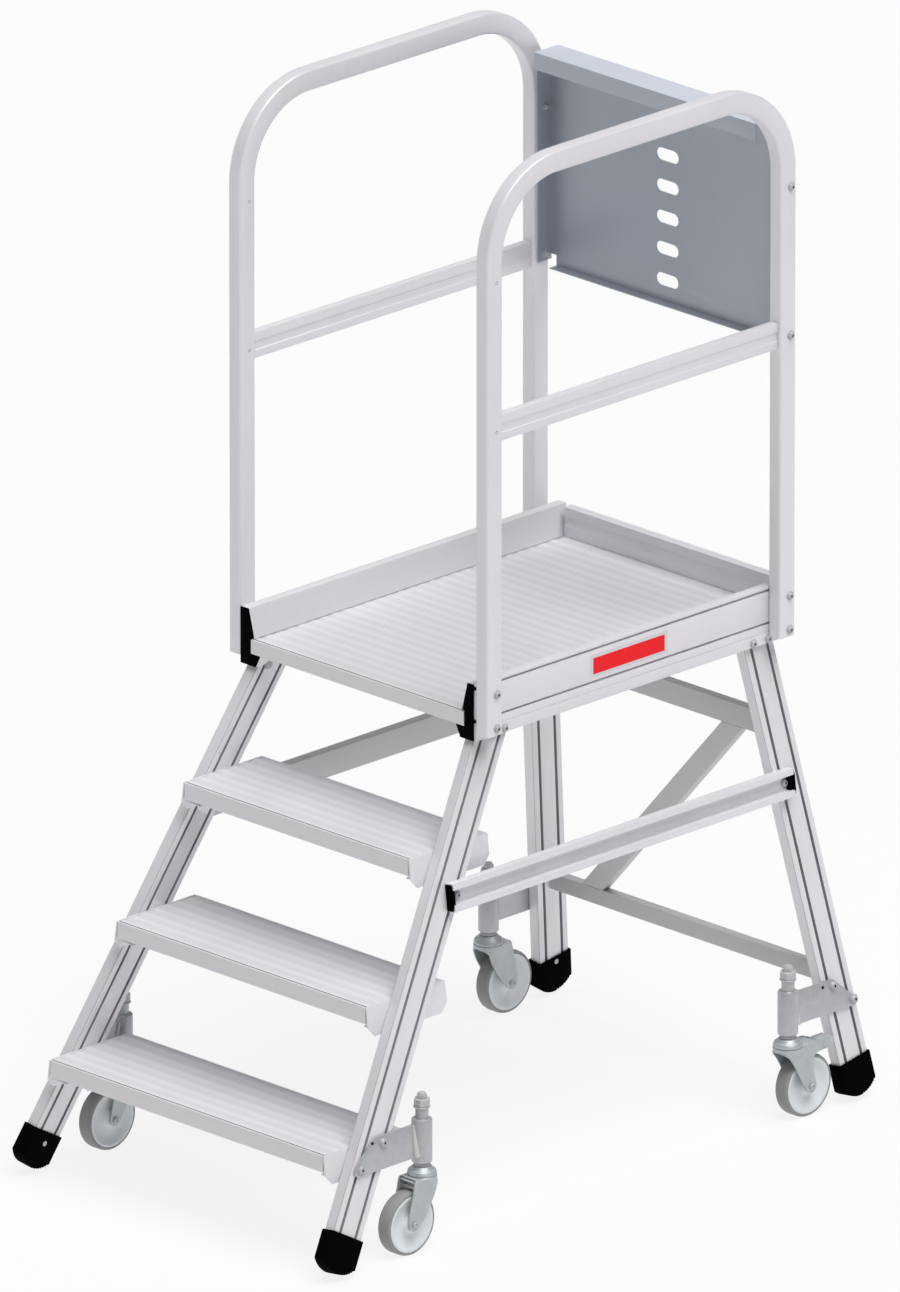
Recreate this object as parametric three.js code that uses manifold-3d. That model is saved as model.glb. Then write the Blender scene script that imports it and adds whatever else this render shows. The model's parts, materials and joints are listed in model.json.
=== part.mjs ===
// Rolling platform ladder with spring castors: three treads, a railed platform and
// a back panel on four splayed legs. Millimetres, +X the climber's right, -Y the
// climbing side, +Z up. The origin is on the floor, under the middle of the ladder.
import * as THREE from "three";
import { mergeVertices } from "three/addons/utils/BufferGeometryUtils.js";
import Module from "manifold-3d";

const wasm = await Module();
wasm.setup();

// ---- driving dimensions ----
const gap = 0.3; // clearance between pieces that touch
const deckHeight = 944.5; // top of the platform above the floor
const rise = 240; // height between treads, and from the top tread to the platform
const firstRun = 156; // from the platform's front edge to the top tread's front edge
const run = 140; // the same between treads
const deckDepth = 817;
const deckHalfWidth = 273;
const deckLip = 27.3; // height of the platform's front edge
const middleY = -223.84; // the platform's front edge, from the middle of the ladder

const legDepth = 73; // leg section, front to rear
const legThickness = 25;
const splay = Math.atan(0.132); // legs lean outwards by this angle
const stairAngle = Math.atan(0.575); // front legs, from the vertical
const rearAngle = Math.atan(0.173); // rear legs, from the vertical
const legHalfSpan = 284; // outer faces of the legs at platform level, from the middle
const frontLegY = 40; // upper edge of the front legs at platform level
const rearLegY = 692.7; // front edge of the rear legs at platform level
const legTopDrop = 31.6; // legs end this far below the platform top
const footClearance = 7; // feet hang clear of the floor until the springs give
const footArc = 52; // radius of the rounded sole
const footArcDrop = 20; // centre of that arc, below the top of the foot

const treadDepth = 203;
const treadLip = 32;
const ribPitch = 26.5;
const ribHeight = 1.2;

const railOuter = 301; // outer faces of the platform's side rails
const railTop = 57; // side rails stand this far above the platform
const railBottom = -51;
const railEndY = 818;

const tubeWidth = 30; // handrail tube, across the ladder
const tubeDepth = 40;
const tubeWall = 2;
const tubeCorner = 4;
const postX = railOuter + gap + tubeWidth / 2;
const frontPostY = 21.4;
const rearPostY = 772.7;
const postBottom = -37;
const handrailTop = 1040; // above the platform
const bendRadius = 160;

const kneeRailZ = 545; // middle of the knee rail above the platform
const kneeRailHeight = 50;
const kneeRailWidth = 15;

const panelHalfWidth = 300.6;
const panelY = 797; // rear sheet of the back panel
const panelBottom = 518;
const panelTop = 945;
const panelSheet = 2;
const slotCount = 5;
const slotPitch = 60;

const castorX = 385.5;
const frontCastorY = -218.5;
const rearCastorY = 721.5;
const castorTrail = 40;
const wheelRadius = 60;
const wheelWidth = 29;
const springTravel = 7.5;

// ---- materials ----
const finish = (color, roughness, metalness) =>
  new THREE.MeshStandardMaterial({ color, roughness, metalness });
const aluminium = () => finish(0xd8d6dc, 0.5, 0.7);
const shadedAluminium = () => finish(0xb4b2b8, 0.5, 0.7);
const sheetMetal = () => finish(0x8a9099, 0.45, 0.6);
const zincPlate = () => finish(0xb6bbbe, 0.4, 0.8);
const galvanised = () => finish(0xaaaab0, 0.4, 0.8);
const springSteel = () => finish(0x8e9296, 0.35, 0.9);
const blackRubber = () => finish(0x0b0b0c, 0.9, 0);
const blackPlastic = () => finish(0x101011, 0.6, 0);
const greyWheel = () => finish(0xd7dde0, 0.5, 0);

// ---- shape helpers ----
const axisX = new THREE.Vector3(1, 0, 0);
const axisY = new THREE.Vector3(0, 1, 0);
const axisZ = new THREE.Vector3(0, 0, 1);

// Outline as a THREE.Shape, with optional holes, from lists of [a, b] points.
function outline(points, holes = []) {
  const shape = new THREE.Shape(points.map(([a, b]) => new THREE.Vector2(a, b)));
  for (const hole of holes) {
    shape.holes.push(new THREE.Path(hole.map(([a, b]) => new THREE.Vector2(a, b))));
  }
  return shape;
}

function extrude(shape, length) {
  return new THREE.ExtrudeGeometry(shape, { depth: length, bevelEnabled: false, curveSegments: 8 });
}

// Outline drawn in Y and Z, drawn out from x0 to x1.
function alongX(shape, x0, x1) {
  const geometry = extrude(shape, x1 - x0);
  geometry.applyMatrix4(new THREE.Matrix4().makeBasis(axisY, axisZ, axisX));
  return geometry.translate(x0, 0, 0);
}

// Outline drawn in X and Z, drawn out from y0 to y1.
function alongY(shape, y0, y1) {
  const geometry = extrude(shape, y1 - y0);
  geometry.applyMatrix4(new THREE.Matrix4().makeBasis(axisX, axisZ, axisY.clone().negate()));
  return geometry.translate(0, y1, 0);
}

// Outline drawn in X and Y, drawn out from z0 to z1.
function alongZ(shape, z0, z1) {
  return extrude(shape, z1 - z0).translate(0, 0, z0);
}

// Box between two opposite corners.
function block(low, high) {
  const size = high.map((value, i) => value - low[i]);
  const geometry = new THREE.BoxGeometry(size[0], size[1], size[2]);
  return geometry.translate(...low.map((value, i) => value + size[i] / 2));
}

// Body of revolution about Z from [radius, z] points, starting and ending on the axis
// or closing on themselves.
function turned(points, segments = 20) {
  const profile = points.map(([r, z]) => new THREE.Vector2(r, z));
  return new THREE.LatheGeometry(profile, segments).rotateX(Math.PI / 2);
}

function cylinder(radius, z0, z1, segments = 20) {
  return turned([[0, z0], [radius, z0], [radius, z1], [0, z1]], segments);
}

function toSolid(geometry) {
  const bare = geometry.clone();
  bare.deleteAttribute("normal");
  bare.deleteAttribute("uv");
  const merged = mergeVertices(bare, 1e-4);
  const mesh = new wasm.Mesh({
    numProp: 3,
    vertProperties: new Float32Array(merged.attributes.position.array),
    triVerts: new Uint32Array(merged.index.array),
  });
  return new wasm.Manifold(mesh);
}

function toGeometry(solid) {
  const { vertProperties, triVerts } = solid.getMesh();
  const geometry = new THREE.BufferGeometry();
  geometry.setAttribute("position", new THREE.BufferAttribute(vertProperties, 3));
  geometry.setIndex(new THREE.BufferAttribute(triVerts, 1));
  const flat = geometry.toNonIndexed();
  flat.computeVertexNormals();
  return flat;
}

// Join some geometries, then cut others out of them.
function build(added, cut = []) {
  let solid = toSolid(added[0]);
  for (const geometry of added.slice(1)) solid = solid.add(toSolid(geometry));
  for (const geometry of cut) solid = solid.subtract(toSolid(geometry));
  return toGeometry(solid);
}

function piece(parent, name, geometry, material) {
  const mesh = new THREE.Mesh(geometry, material);
  mesh.name = name;
  parent.add(mesh);
  return mesh;
}

// Points on a circular arc in the outline's plane.
function arcPoints(ca, cb, radius, from, to, steps) {
  const points = [];
  for (let i = 0; i <= steps; i += 1) {
    const angle = from + ((to - from) * i) / steps;
    points.push([ca + radius * Math.cos(angle), cb + radius * Math.sin(angle)]);
  }
  return points;
}

// Rectangle with rounded corners, centred on the origin.
function roundedRectangle(width, height, radius, steps = 3) {
  const a = width / 2 - radius;
  const b = height / 2 - radius;
  const quarter = Math.PI / 2;
  return [
    ...arcPoints(a, b, radius, 0, quarter, steps),
    ...arcPoints(-a, b, radius, quarter, 2 * quarter, steps),
    ...arcPoints(-a, -b, radius, 2 * quarter, 3 * quarter, steps),
    ...arcPoints(a, -b, radius, 3 * quarter, 4 * quarter, steps),
  ];
}

const mirrorA = (points) => points.map(([a, b]) => [-a, b]).reverse();

// ---- the ladder and its two splayed sides ----
// Everything is placed from the platform's front edge and top face.
const ladder = new THREE.Group();
const frame = new THREE.Group();
frame.position.set(0, middleY, deckHeight);
ladder.add(frame);

const sides = [
  { name: "left", sign: -1 },
  { name: "right", sign: 1 },
];

// In a side's own frame x = 0 is the outer face of its legs, y runs along the
// platform and z up the splayed plane from platform level.
for (const side of sides) {
  side.group = new THREE.Group();
  side.group.position.x = side.sign * legHalfSpan;
  side.group.rotation.y = -side.sign * splay;
  frame.add(side.group);
}
const slant = Math.cos(splay);
const downSlant = (drop) => -drop / slant; // side frame z at a drop below the platform

// ---- legs and feet ----
const grooveInset = 16;
const grooveWidth = 6.5;
const grooveDepth = 7;
const legWall = 2.5;

// Leg section: thickness along X, depth along Y, two deep grooves in each wide face and
// an even wall behind them.
function legSection() {
  const half = legThickness / 2;
  const corner = 1.5;
  const inner = half - grooveDepth;
  const rightSide = [];
  for (const middle of [grooveInset, legDepth - grooveInset]) {
    rightSide.push([half, middle - grooveWidth / 2], [inner, middle - grooveWidth / 2]);
    rightSide.push([inner, middle + grooveWidth / 2], [half, middle + grooveWidth / 2]);
  }
  const halfOutline = [
    [half - corner, 0],
    [half, corner],
    ...rightSide,
    [half, legDepth - corner],
    [half - corner, legDepth],
  ];
  const wide = half - legWall;
  const narrow = inner - legWall;
  const low = grooveInset - grooveWidth / 2 - legWall;
  const high = grooveInset + grooveWidth / 2 + legWall;
  const halfHollow = [
    [wide, legWall + 0.5],
    [wide, low],
    [narrow, low],
    [narrow, high],
    [wide, high],
    [wide, legDepth - high],
    [narrow, legDepth - high],
    [narrow, legDepth - low],
    [wide, legDepth - low],
    [wide, legDepth - legWall - 0.5],
  ];
  const hollow = [...halfHollow, ...mirrorA(halfHollow)];
  return outline([...halfOutline, ...mirrorA(halfOutline)], [hollow]);
}

// Length of the leg's edge from platform level to the top of its foot, so that the
// lowest point of the sole ends at the foot clearance.
function footTop(angle) {
  const forward = Math.sign(angle);
  const lean = Math.abs(angle);
  const arcReach = footArc * slant;
  const tilt = (legThickness + 3) * Math.sin(splay);
  const drop = deckHeight - footClearance - arcReach - tilt;
  const acrossDrop = (legDepth / 2) * Math.sin(lean) * slant * forward;
  return (drop - acrossDrop) / (Math.cos(lean) * slant) - footArcDrop;
}

// Sole outline in the leg's own frame: a sleeve with a rounded end, toothed on its
// rear half.
function footOutline(top) {
  const wall = 3;
  const middle = legDepth / 2;
  const half = middle + wall;
  const centreZ = -(top + footArcDrop);
  const spread = Math.asin(half / footArc);
  const teeth = 15;
  const toothDepth = 2;
  const points = [[-wall, -top], [-wall, centreZ - Math.sqrt(footArc ** 2 - half ** 2)]];
  for (let i = 1; i < 2 * teeth; i += 1) {
    const angle = -Math.PI / 2 - spread + (spread * i) / teeth;
    const cut = i > teeth && i % 2 === 0 ? toothDepth : 0;
    const radius = footArc - cut;
    points.push([middle + radius * Math.cos(angle), centreZ + radius * Math.sin(angle)]);
  }
  points.push([legDepth + wall, points[1][1]], [legDepth + wall, -top]);
  return outline(points);
}

function addLeg(side, place, startY, angle) {
  const leg = new THREE.Group();
  leg.position.set((-side.sign * legThickness) / 2, startY, 0);
  leg.rotation.x = -angle;
  side.group.add(leg);

  const top = footTop(angle);
  const insertion = 32;
  const above = 60;
  const cutter = block([-50, -200, downSlant(legTopDrop)], [50, 300, 200]);
  cutter.rotateX(angle);
  const profile = alongZ(legSection(), -(top + insertion), above);
  piece(leg, `${place}_leg_${side.name}`, build([profile], [cutter]), aluminium());

  const wide = legThickness / 2 + gap;
  const pocketLow = [-wide, -gap, -(top + insertion + gap)];
  const pocket = block(pocketLow, [wide, legDepth + gap, -top + 5]);
  const body = alongX(footOutline(top), -legThickness / 2 - 3, legThickness / 2 + 3);
  piece(leg, `${place}_foot_${side.name}`, build([body], [pocket]), blackRubber());
}

for (const side of sides) {
  addLeg(side, "front", frontLegY, stairAngle);
  addLeg(side, "rear", rearLegY, -rearAngle);
}

// ---- treads and their brackets ----
// Ribbed top face as outline points from the front edge to the rear one.
function ribbedTop(depth, front, rear) {
  const count = Math.floor((depth - front - rear) / ribPitch);
  const start = front + (depth - front - rear - count * ribPitch) / 2;
  const flank = 3;
  const points = [];
  for (let i = 0; i < count; i += 1) {
    const y = start + i * ribPitch;
    points.push([y, 0], [y + flank, -ribHeight]);
    points.push([y + ribPitch / 2 - flank, -ribHeight], [y + ribPitch / 2, 0]);
  }
  return points;
}

// Tread or platform section: ribbed plate with a nosing in front, a lip behind and
// webs below it.
function plankSection(depth, lip, webs) {
  const plate = 3;
  const nosing = 4;
  const points = [[0, 0], ...ribbedTop(depth, 10, 6), [depth, 0], [depth, -lip]];
  points.push([depth - 14, -lip], [depth - 14, -lip + 2.5], [depth - 2.5, -lip + 2.5]);
  points.push([depth - 2.5, -plate]);
  for (const y of [...webs].reverse()) {
    points.push([y + 1.5, -plate], [y + 1.5, -lip], [y - 1.5, -lip], [y - 1.5, -plate]);
  }
  points.push([nosing, -plate], [nosing, -lip + 3], [16, -lip + 3], [16, -lip], [0, -lip]);
  return outline(points);
}

// Bracket's side plate in the side frame: chamfered lower corners.
function bracketPlate(y, top) {
  const length = 200;
  const height = 57;
  const chamferY = 15;
  const chamferZ = 18;
  return outline([
    [y, top],
    [y, top - height + chamferZ],
    [y + chamferY, top - height],
    [y + length - chamferY, top - height],
    [y + length, top - height + chamferZ],
    [y + length, top],
  ]);
}

const bracketThickness = 3;
const bracketRise = 4.5; // bracket's upper edge above the tread

function addBracket(side, number, y, drop) {
  const top = downSlant(drop - bracketRise);
  const outer = -(legThickness + gap);
  const inner = outer - bracketThickness;
  const ledge = -28;
  const shelfTop = downSlant(drop + treadLip + 5);
  const plate = alongX(bracketPlate(y, top), inner, outer);
  const shelf = block([inner + ledge, y + 18, shelfTop - 3], [inner + 1, y + 182, shelfTop]);
  const geometry = build([plate, shelf]);
  const placed = side.sign > 0 ? geometry : geometry.clone().rotateZ(Math.PI);
  if (side.sign < 0) placed.translate(0, 2 * y + 200, 0);
  piece(side.group, `tread_bracket_${number}_${side.name}`, placed, aluminium());
}

const treadCount = 3;
for (let number = 1; number <= treadCount; number += 1) {
  const below = treadCount + 1 - number;
  const drop = below * rise;
  const y = -(firstRun + (below - 1) * run);
  const legInner = legHalfSpan + drop * Math.tan(splay) - (legThickness + gap) * slant;
  const halfWidth = legInner - bracketThickness * slant - 0.8;
  const section = plankSection(treadDepth, treadLip, [70, 136]);
  const geometry = alongX(section, -halfWidth, halfWidth).translate(0, y, -drop);
  piece(frame, `tread_${number}`, geometry, aluminium());
  for (const side of sides) addBracket(side, number, y, drop);
}

// ---- platform ----
const deckWebs = [130, 262, 266.5, 398, 529, 533.5, 665];
const deck = alongX(plankSection(deckDepth, deckLip, deckWebs), -deckHalfWidth, deckHalfWidth);
piece(frame, "platform_deck", deck, aluminium());

// Side rail section for the right side, in X and Z from the platform's middle and top:
// toe board above, a pocket for the deck's edge, a channel for the leg tops below.
function sideRailPoints() {
  const outer = railOuter;
  const slot = 5;
  const slotDepth = 7;
  const upper = 50;
  const lower = -13;
  const line = -29.6;
  return [
    [outer - 10, railBottom],
    [outer, railBottom],
    [outer, line - 0.8],
    [outer - 1, line],
    [outer, line + 0.8],
    [outer, lower - slot / 2],
    [outer - slotDepth, lower - slot / 2],
    [outer - slotDepth, lower + slot / 2],
    [outer, lower + slot / 2],
    [outer, upper - slot / 2],
    [outer - slotDepth, upper - slot / 2],
    [outer - slotDepth, upper + slot / 2],
    [outer, upper + slot / 2],
    [outer, railTop],
    [282, railTop],
    [268.3, 0.7],
    [deckHalfWidth + gap, 0.7],
    [deckHalfWidth + gap, -deckLip - gap],
    [251.6, -deckLip - gap],
    [262.4, railBottom],
    [265.2, railBottom],
    [256, -31],
    [288.6, -31],
  ];
}

const railHollow = [[280.5, 46], [291, 46], [291, -22], [280.5, -22]];
const capNotch = 5;

// Cap outline: the rail's silhouette without its outer skin.
function capPoints() {
  const outer = railOuter - capNotch;
  return [
    [outer, railBottom],
    [outer, railTop],
    [281, railTop],
    [267.5, 3],
    [deckHalfWidth + gap, 3],
    [deckHalfWidth + gap, -deckLip - gap],
    [251.6, -deckLip - gap],
    [263.2, railBottom],
  ];
}

for (const side of sides) {
  const pointsFor = (points) => (side.sign > 0 ? points : mirrorA(points));
  const section = outline(pointsFor(sideRailPoints()), [pointsFor(railHollow)]);
  const startY = 4;
  const rail = alongY(section, startY, railEndY);
  piece(frame, `side_rail_${side.name}`, rail, aluminium());
  const cap = alongY(outline(pointsFor(capPoints())), 1, startY - gap);
  piece(frame, `side_rail_cap_${side.name}`, cap, blackPlastic());
}

// Board section with a shallow recess along its inner face, in Y and Z.
function rearBoardPoints() {
  const front = 798.6;
  const rear = 818;
  const recess = 1.5;
  const bottom = 0.4;
  return [
    [front, bottom],
    [rear, bottom],
    [rear, railTop],
    [front, railTop],
    [front, railTop - 18],
    [front + recess, railTop - 20],
    [front + recess, railTop - 34],
    [front, railTop - 36],
  ];
}
const boardHollow = [[803, 5], [814.5, 5], [814.5, 52.5], [803, 52.5]];
const boardHalf = 267.9;
const board = alongX(outline(rearBoardPoints(), [boardHollow]), -boardHalf, boardHalf);
piece(frame, "rear_toe_board", board, aluminium());

// ---- handrails ----
// Centre line of a handrail: up the front post, over two bends, down the rear post.
// Its stations are even within each bend, with none along the straight runs.
const bendSteps = 8;
class HandrailPath extends THREE.Curve {
  stationPoint(index) {
    const top = handrailTop - tubeDepth / 2;
    const bendZ = top - bendRadius;
    if (index <= 0) return new THREE.Vector3(0, frontPostY, postBottom);
    if (index <= bendSteps + 1) {
      const angle = Math.PI - (Math.PI / 2) * ((index - 1) / bendSteps);
      return this.bendPoint(frontPostY + bendRadius, bendZ, angle);
    }
    if (index <= 2 * bendSteps + 2) {
      const angle = Math.PI / 2 - (Math.PI / 2) * ((index - bendSteps - 2) / bendSteps);
      return this.bendPoint(rearPostY - bendRadius, bendZ, angle);
    }
    return new THREE.Vector3(0, rearPostY, postBottom);
  }

  bendPoint(y, z, angle) {
    const across = bendRadius * Math.cos(angle);
    return new THREE.Vector3(0, y + across, z + bendRadius * Math.sin(angle));
  }

  getPoint(t) {
    return this.stationPoint(Math.round(t * (2 * bendSteps + 3)));
  }

  getPointAt(t) {
    return this.getPoint(t);
  }

  getTangentAt(t) {
    const index = Math.round(t * (2 * bendSteps + 3));
    if (index <= 1) return new THREE.Vector3(0, 0, 1);
    if (index >= 2 * bendSteps + 2) return new THREE.Vector3(0, 0, -1);
    const bend = index <= bendSteps + 1 ? index - 1 : index - 2;
    const turn = (Math.PI / 2) * (bend / bendSteps);
    return new THREE.Vector3(0, Math.sin(turn), Math.cos(turn));
  }
}

function handrailGeometry() {
  const section = outline(roundedRectangle(tubeDepth, tubeWidth, tubeCorner, 2), [
    roundedRectangle(tubeDepth - 2 * tubeWall, tubeWidth - 2 * tubeWall, tubeCorner - 2, 1),
  ]);
  const steps = 2 * bendSteps + 3;
  return new THREE.ExtrudeGeometry(section, { steps, extrudePath: new HandrailPath() });
}

// Knee rail section in X and Z: a channel between two lips on both faces.
function kneeRailSection() {
  const half = kneeRailWidth / 2;
  const top = kneeRailZ + kneeRailHeight / 2;
  const bottom = kneeRailZ - kneeRailHeight / 2;
  const channelTop = top - 18;
  const channelBottom = top - 35;
  const rightHalf = [
    [half, bottom],
    [half, channelBottom],
    [half - 1.5, channelBottom + 1.5],
    [half - 1.5, channelTop - 1.5],
    [half, channelTop],
    [half, top],
  ];
  const hollow = [[-4, bottom + 3], [4, bottom + 3], [4, top - 3], [-4, top - 3]];
  return outline([...rightHalf, ...mirrorA(rightHalf)], [hollow]);
}

for (const side of sides) {
  const x = side.sign * postX;
  piece(frame, `handrail_${side.name}`, handrailGeometry().translate(x, 0, 0), aluminium());
  const startY = frontPostY + tubeDepth / 2 + gap;
  const endY = rearPostY - tubeDepth / 2 - gap;
  const kneeRail = alongY(kneeRailSection(), startY, endY).translate(x, 0, 0);
  piece(frame, `knee_rail_${side.name}`, kneeRail, aluminium());
}

// ---- back panel ----
function backPanel() {
  const flange = 35;
  const half = panelHalfWidth;
  const hoodHalf = 283;
  const hoodFront = 736;
  const hoodLip = 33;
  const inner = panelY - panelSheet;
  const lowerEdge = panelBottom + 22;
  const sheet = block([-half, inner, lowerEdge], [half, panelY, panelTop - hoodLip]);
  const foot = block([-half + 16, inner, panelBottom], [half - 16, panelY, lowerEdge + 1]);
  const head = block([-hoodHalf, inner, panelTop - hoodLip - 1], [hoodHalf, panelY, panelTop]);
  const hood = block([-hoodHalf, hoodFront, panelTop - panelSheet], [hoodHalf, panelY, panelTop]);
  const lip = block(
    [-hoodHalf, hoodFront, panelTop - hoodLip],
    [hoodHalf, hoodFront + panelSheet, panelTop],
  );
  const shelf = block(
    [-half + 16, panelY - 20, panelBottom],
    [half - 16, panelY, panelBottom + panelSheet],
  );
  const wings = [-1, 1].map((sign) => {
    const outer = sign * half;
    const inside = sign * (half - panelSheet);
    const low = [Math.min(outer, inside), panelY - flange, lowerEdge - 10];
    return block(low, [Math.max(outer, inside), panelY, panelTop - hoodLip - 9]);
  });
  const slots = [];
  for (let i = 0; i < slotCount; i += 1) {
    const z = 681 + (i - (slotCount - 1) / 2) * slotPitch;
    const shape = outline(roundedRectangle(24, 56, 11.9, 5).map(([a, b]) => [b, a + z]));
    slots.push(alongY(shape, panelY - 20, panelY + 20));
  }
  return build([sheet, foot, head, hood, lip, shelf, ...wings], slots);
}
piece(frame, "back_panel", backPanel(), sheetMetal());

// ---- braces ----
// Side brace in the side frame: an outward channel, standing on the legs' outer faces.
const braceTop = 292;
const braceHeight = 53;
const braceDepth = 18;

function braceSection(sign) {
  const top = downSlant(braceTop);
  const bottom = top - braceHeight;
  const wall = 2.5;
  const lip = 12;
  const points = [
    [gap, bottom],
    [gap + braceDepth, bottom],
    [gap + braceDepth, bottom + lip],
    [gap + braceDepth - wall, bottom + lip],
    [gap + wall, bottom + lip],
    [gap + wall, top - lip],
    [gap + braceDepth - wall, top - lip],
    [gap + braceDepth, top - lip],
    [gap + braceDepth, top],
    [gap, top],
  ];
  return outline(sign > 0 ? points : mirrorA(points));
}

for (const side of sides) {
  const brace = alongY(braceSection(side.sign), -95, 779);
  piece(side.group, `side_brace_${side.name}`, brace, aluminium());
}

// Cross member between the rear legs: ends follow the splay. drop0 and drop1 are its
// upper and lower edges below the platform.
function crossMember(frontY, drop0, drop1, depth) {
  const reach = (drop) => legHalfSpan + drop * Math.tan(splay) - legThickness / slant - 0.5;
  const shape = outline([
    [-reach(drop1), -drop1],
    [reach(drop1), -drop1],
    [reach(drop0), -drop0],
    [-reach(drop0), -drop0],
  ]);
  return alongY(shape, frontY, frontY + depth);
}

const memberDepth = 20;
const upperFrontY = 760;
const upperDrops = [193, 236];
const lowerFrontY = 847;
const lowerDrops = [688, 719];
const upper = crossMember(upperFrontY, upperDrops[0], upperDrops[1], memberDepth);
const lower = crossMember(lowerFrontY, lowerDrops[0], lowerDrops[1], memberDepth);
piece(frame, "upper_cross_member", upper, shadedAluminium());
piece(frame, "lower_cross_member", lower, shadedAluminium());

// Diagonal between the two members, leaning back with the rear legs.
function diagonal() {
  const width = 38;
  const top = -upperDrops[1] - gap;
  const bottom = -lowerDrops[0] + gap;
  const topX = 202;
  const bottomX = -243;
  const half = (width / 2) * Math.SQRT2;
  const shape = outline([
    [bottomX - half, bottom],
    [bottomX + half, bottom],
    [topX + half, top],
    [topX - half, top],
  ]);
  const geometry = alongY(shape, 0, memberDepth);
  const lean = (lowerFrontY - upperFrontY) / (bottom - top);
  const shear = new THREE.Matrix4().set(1, 0, 0, 0, 0, 1, lean, 0, 0, 0, 1, 0, 0, 0, 0, 1);
  geometry.applyMatrix4(shear);
  return geometry.translate(0, upperFrontY - lean * top, 0);
}
piece(frame, "rear_diagonal", diagonal(), shadedAluminium());

// ---- castors ----
const tubeBottomZ = 168; // heights above the floor
const tubeTopZ = 251.3;
const sleeveTopZ = 271.6;
const crownTopZ = 160.5;
const crownBottomZ = 135;
const plateDrops = [703.5, 764.5];

// Bracket plate in the side frame, from the castor's stem towards the leg.
function castorPlate(side, stemY, direction, bolts) {
  const [top, bottom] = plateDrops.map(downSlant);
  const reach = [
    [0, top],
    [-118, top],
    [-168, top - 44],
    [-174, top - 52],
    [-171, top - 60],
    [-160, bottom],
    [0, bottom],
  ];
  const points = reach.map(([a, b]) => [stemY + direction * -a, b]);
  const shape = outline(direction > 0 ? points.reverse() : points);
  const thickness = 6;
  const low = side.sign > 0 ? gap : -gap - thickness;
  const plate = alongX(shape, low, low + thickness);
  const holes = bolts.map(([a, drop, radius]) => {
    const hole = cylinder(radius, -40, 40, 10).rotateY(Math.PI / 2);
    return hole.translate(0, stemY + direction * a, downSlant(drop));
  });
  return build([plate], holes);
}

// Bracket: plate on the leg, upright tube and guide sleeve for the stem.
function addCastorBracket(side, place, y, direction, bolts) {
  const plate = castorPlate(side, y, direction, bolts);
  plate.rotateY(-side.sign * splay).translate(side.sign * legHalfSpan, 0, 0);
  const x = side.sign * castorX;
  const floor = -deckHeight;
  const tube = turned([
    [0, tubeBottomZ],
    [19, tubeBottomZ],
    [19, tubeTopZ - 3],
    [17, tubeTopZ],
    [12, tubeTopZ],
    [12, sleeveTopZ],
    [0, sleeveTopZ],
  ]);
  const bore = turned([
    [0, tubeBottomZ - 5],
    [16, tubeBottomZ - 5],
    [16, tubeTopZ - 6],
    [7.6, tubeTopZ - 6],
    [7.6, sleeveTopZ + 5],
    [0, sleeveTopZ + 5],
  ]);
  tube.translate(x, y, floor);
  bore.translate(x, y, floor);
  const geometry = build([plate, tube], [bore]);
  piece(frame, `${place}_castor_bracket_${side.name}`, geometry, zincPlate());
}

// Stem: flange above the fork, rod through the sleeve, nut and bolt head on top.
function stemGeometry() {
  const nut = cylinder(15.5, sleeveTopZ + gap, sleeveTopZ + 17.5, 6);
  const rod = turned([
    [0, crownTopZ + gap],
    [15, crownTopZ + gap],
    [15, crownTopZ + 12],
    [7, crownTopZ + 12],
    [7, sleeveTopZ + 17],
    [9.5, sleeveTopZ + 17],
    [9.5, sleeveTopZ + 27],
    [8, sleeveTopZ + 29],
    [0, sleeveTopZ + 29],
  ]);
  return build([rod, nut]);
}

// Helical spring around the stem, inside the tube.
class SpringPath extends THREE.Curve {
  getPoint(t, target = new THREE.Vector3()) {
    const turns = 3.5;
    const angle = 2 * Math.PI * turns * t;
    const low = crownTopZ + 14;
    const high = tubeTopZ - 8;
    return target.set(11.5 * Math.cos(angle), 11.5 * Math.sin(angle), low + (high - low) * t);
  }
}

function springGeometry() {
  const wire = outline(arcPoints(0, 0, 1.7, 0, (3 * Math.PI) / 2, 3));
  return new THREE.ExtrudeGeometry(wire, { steps: 42, extrudePath: new SpringPath() });
}

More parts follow.
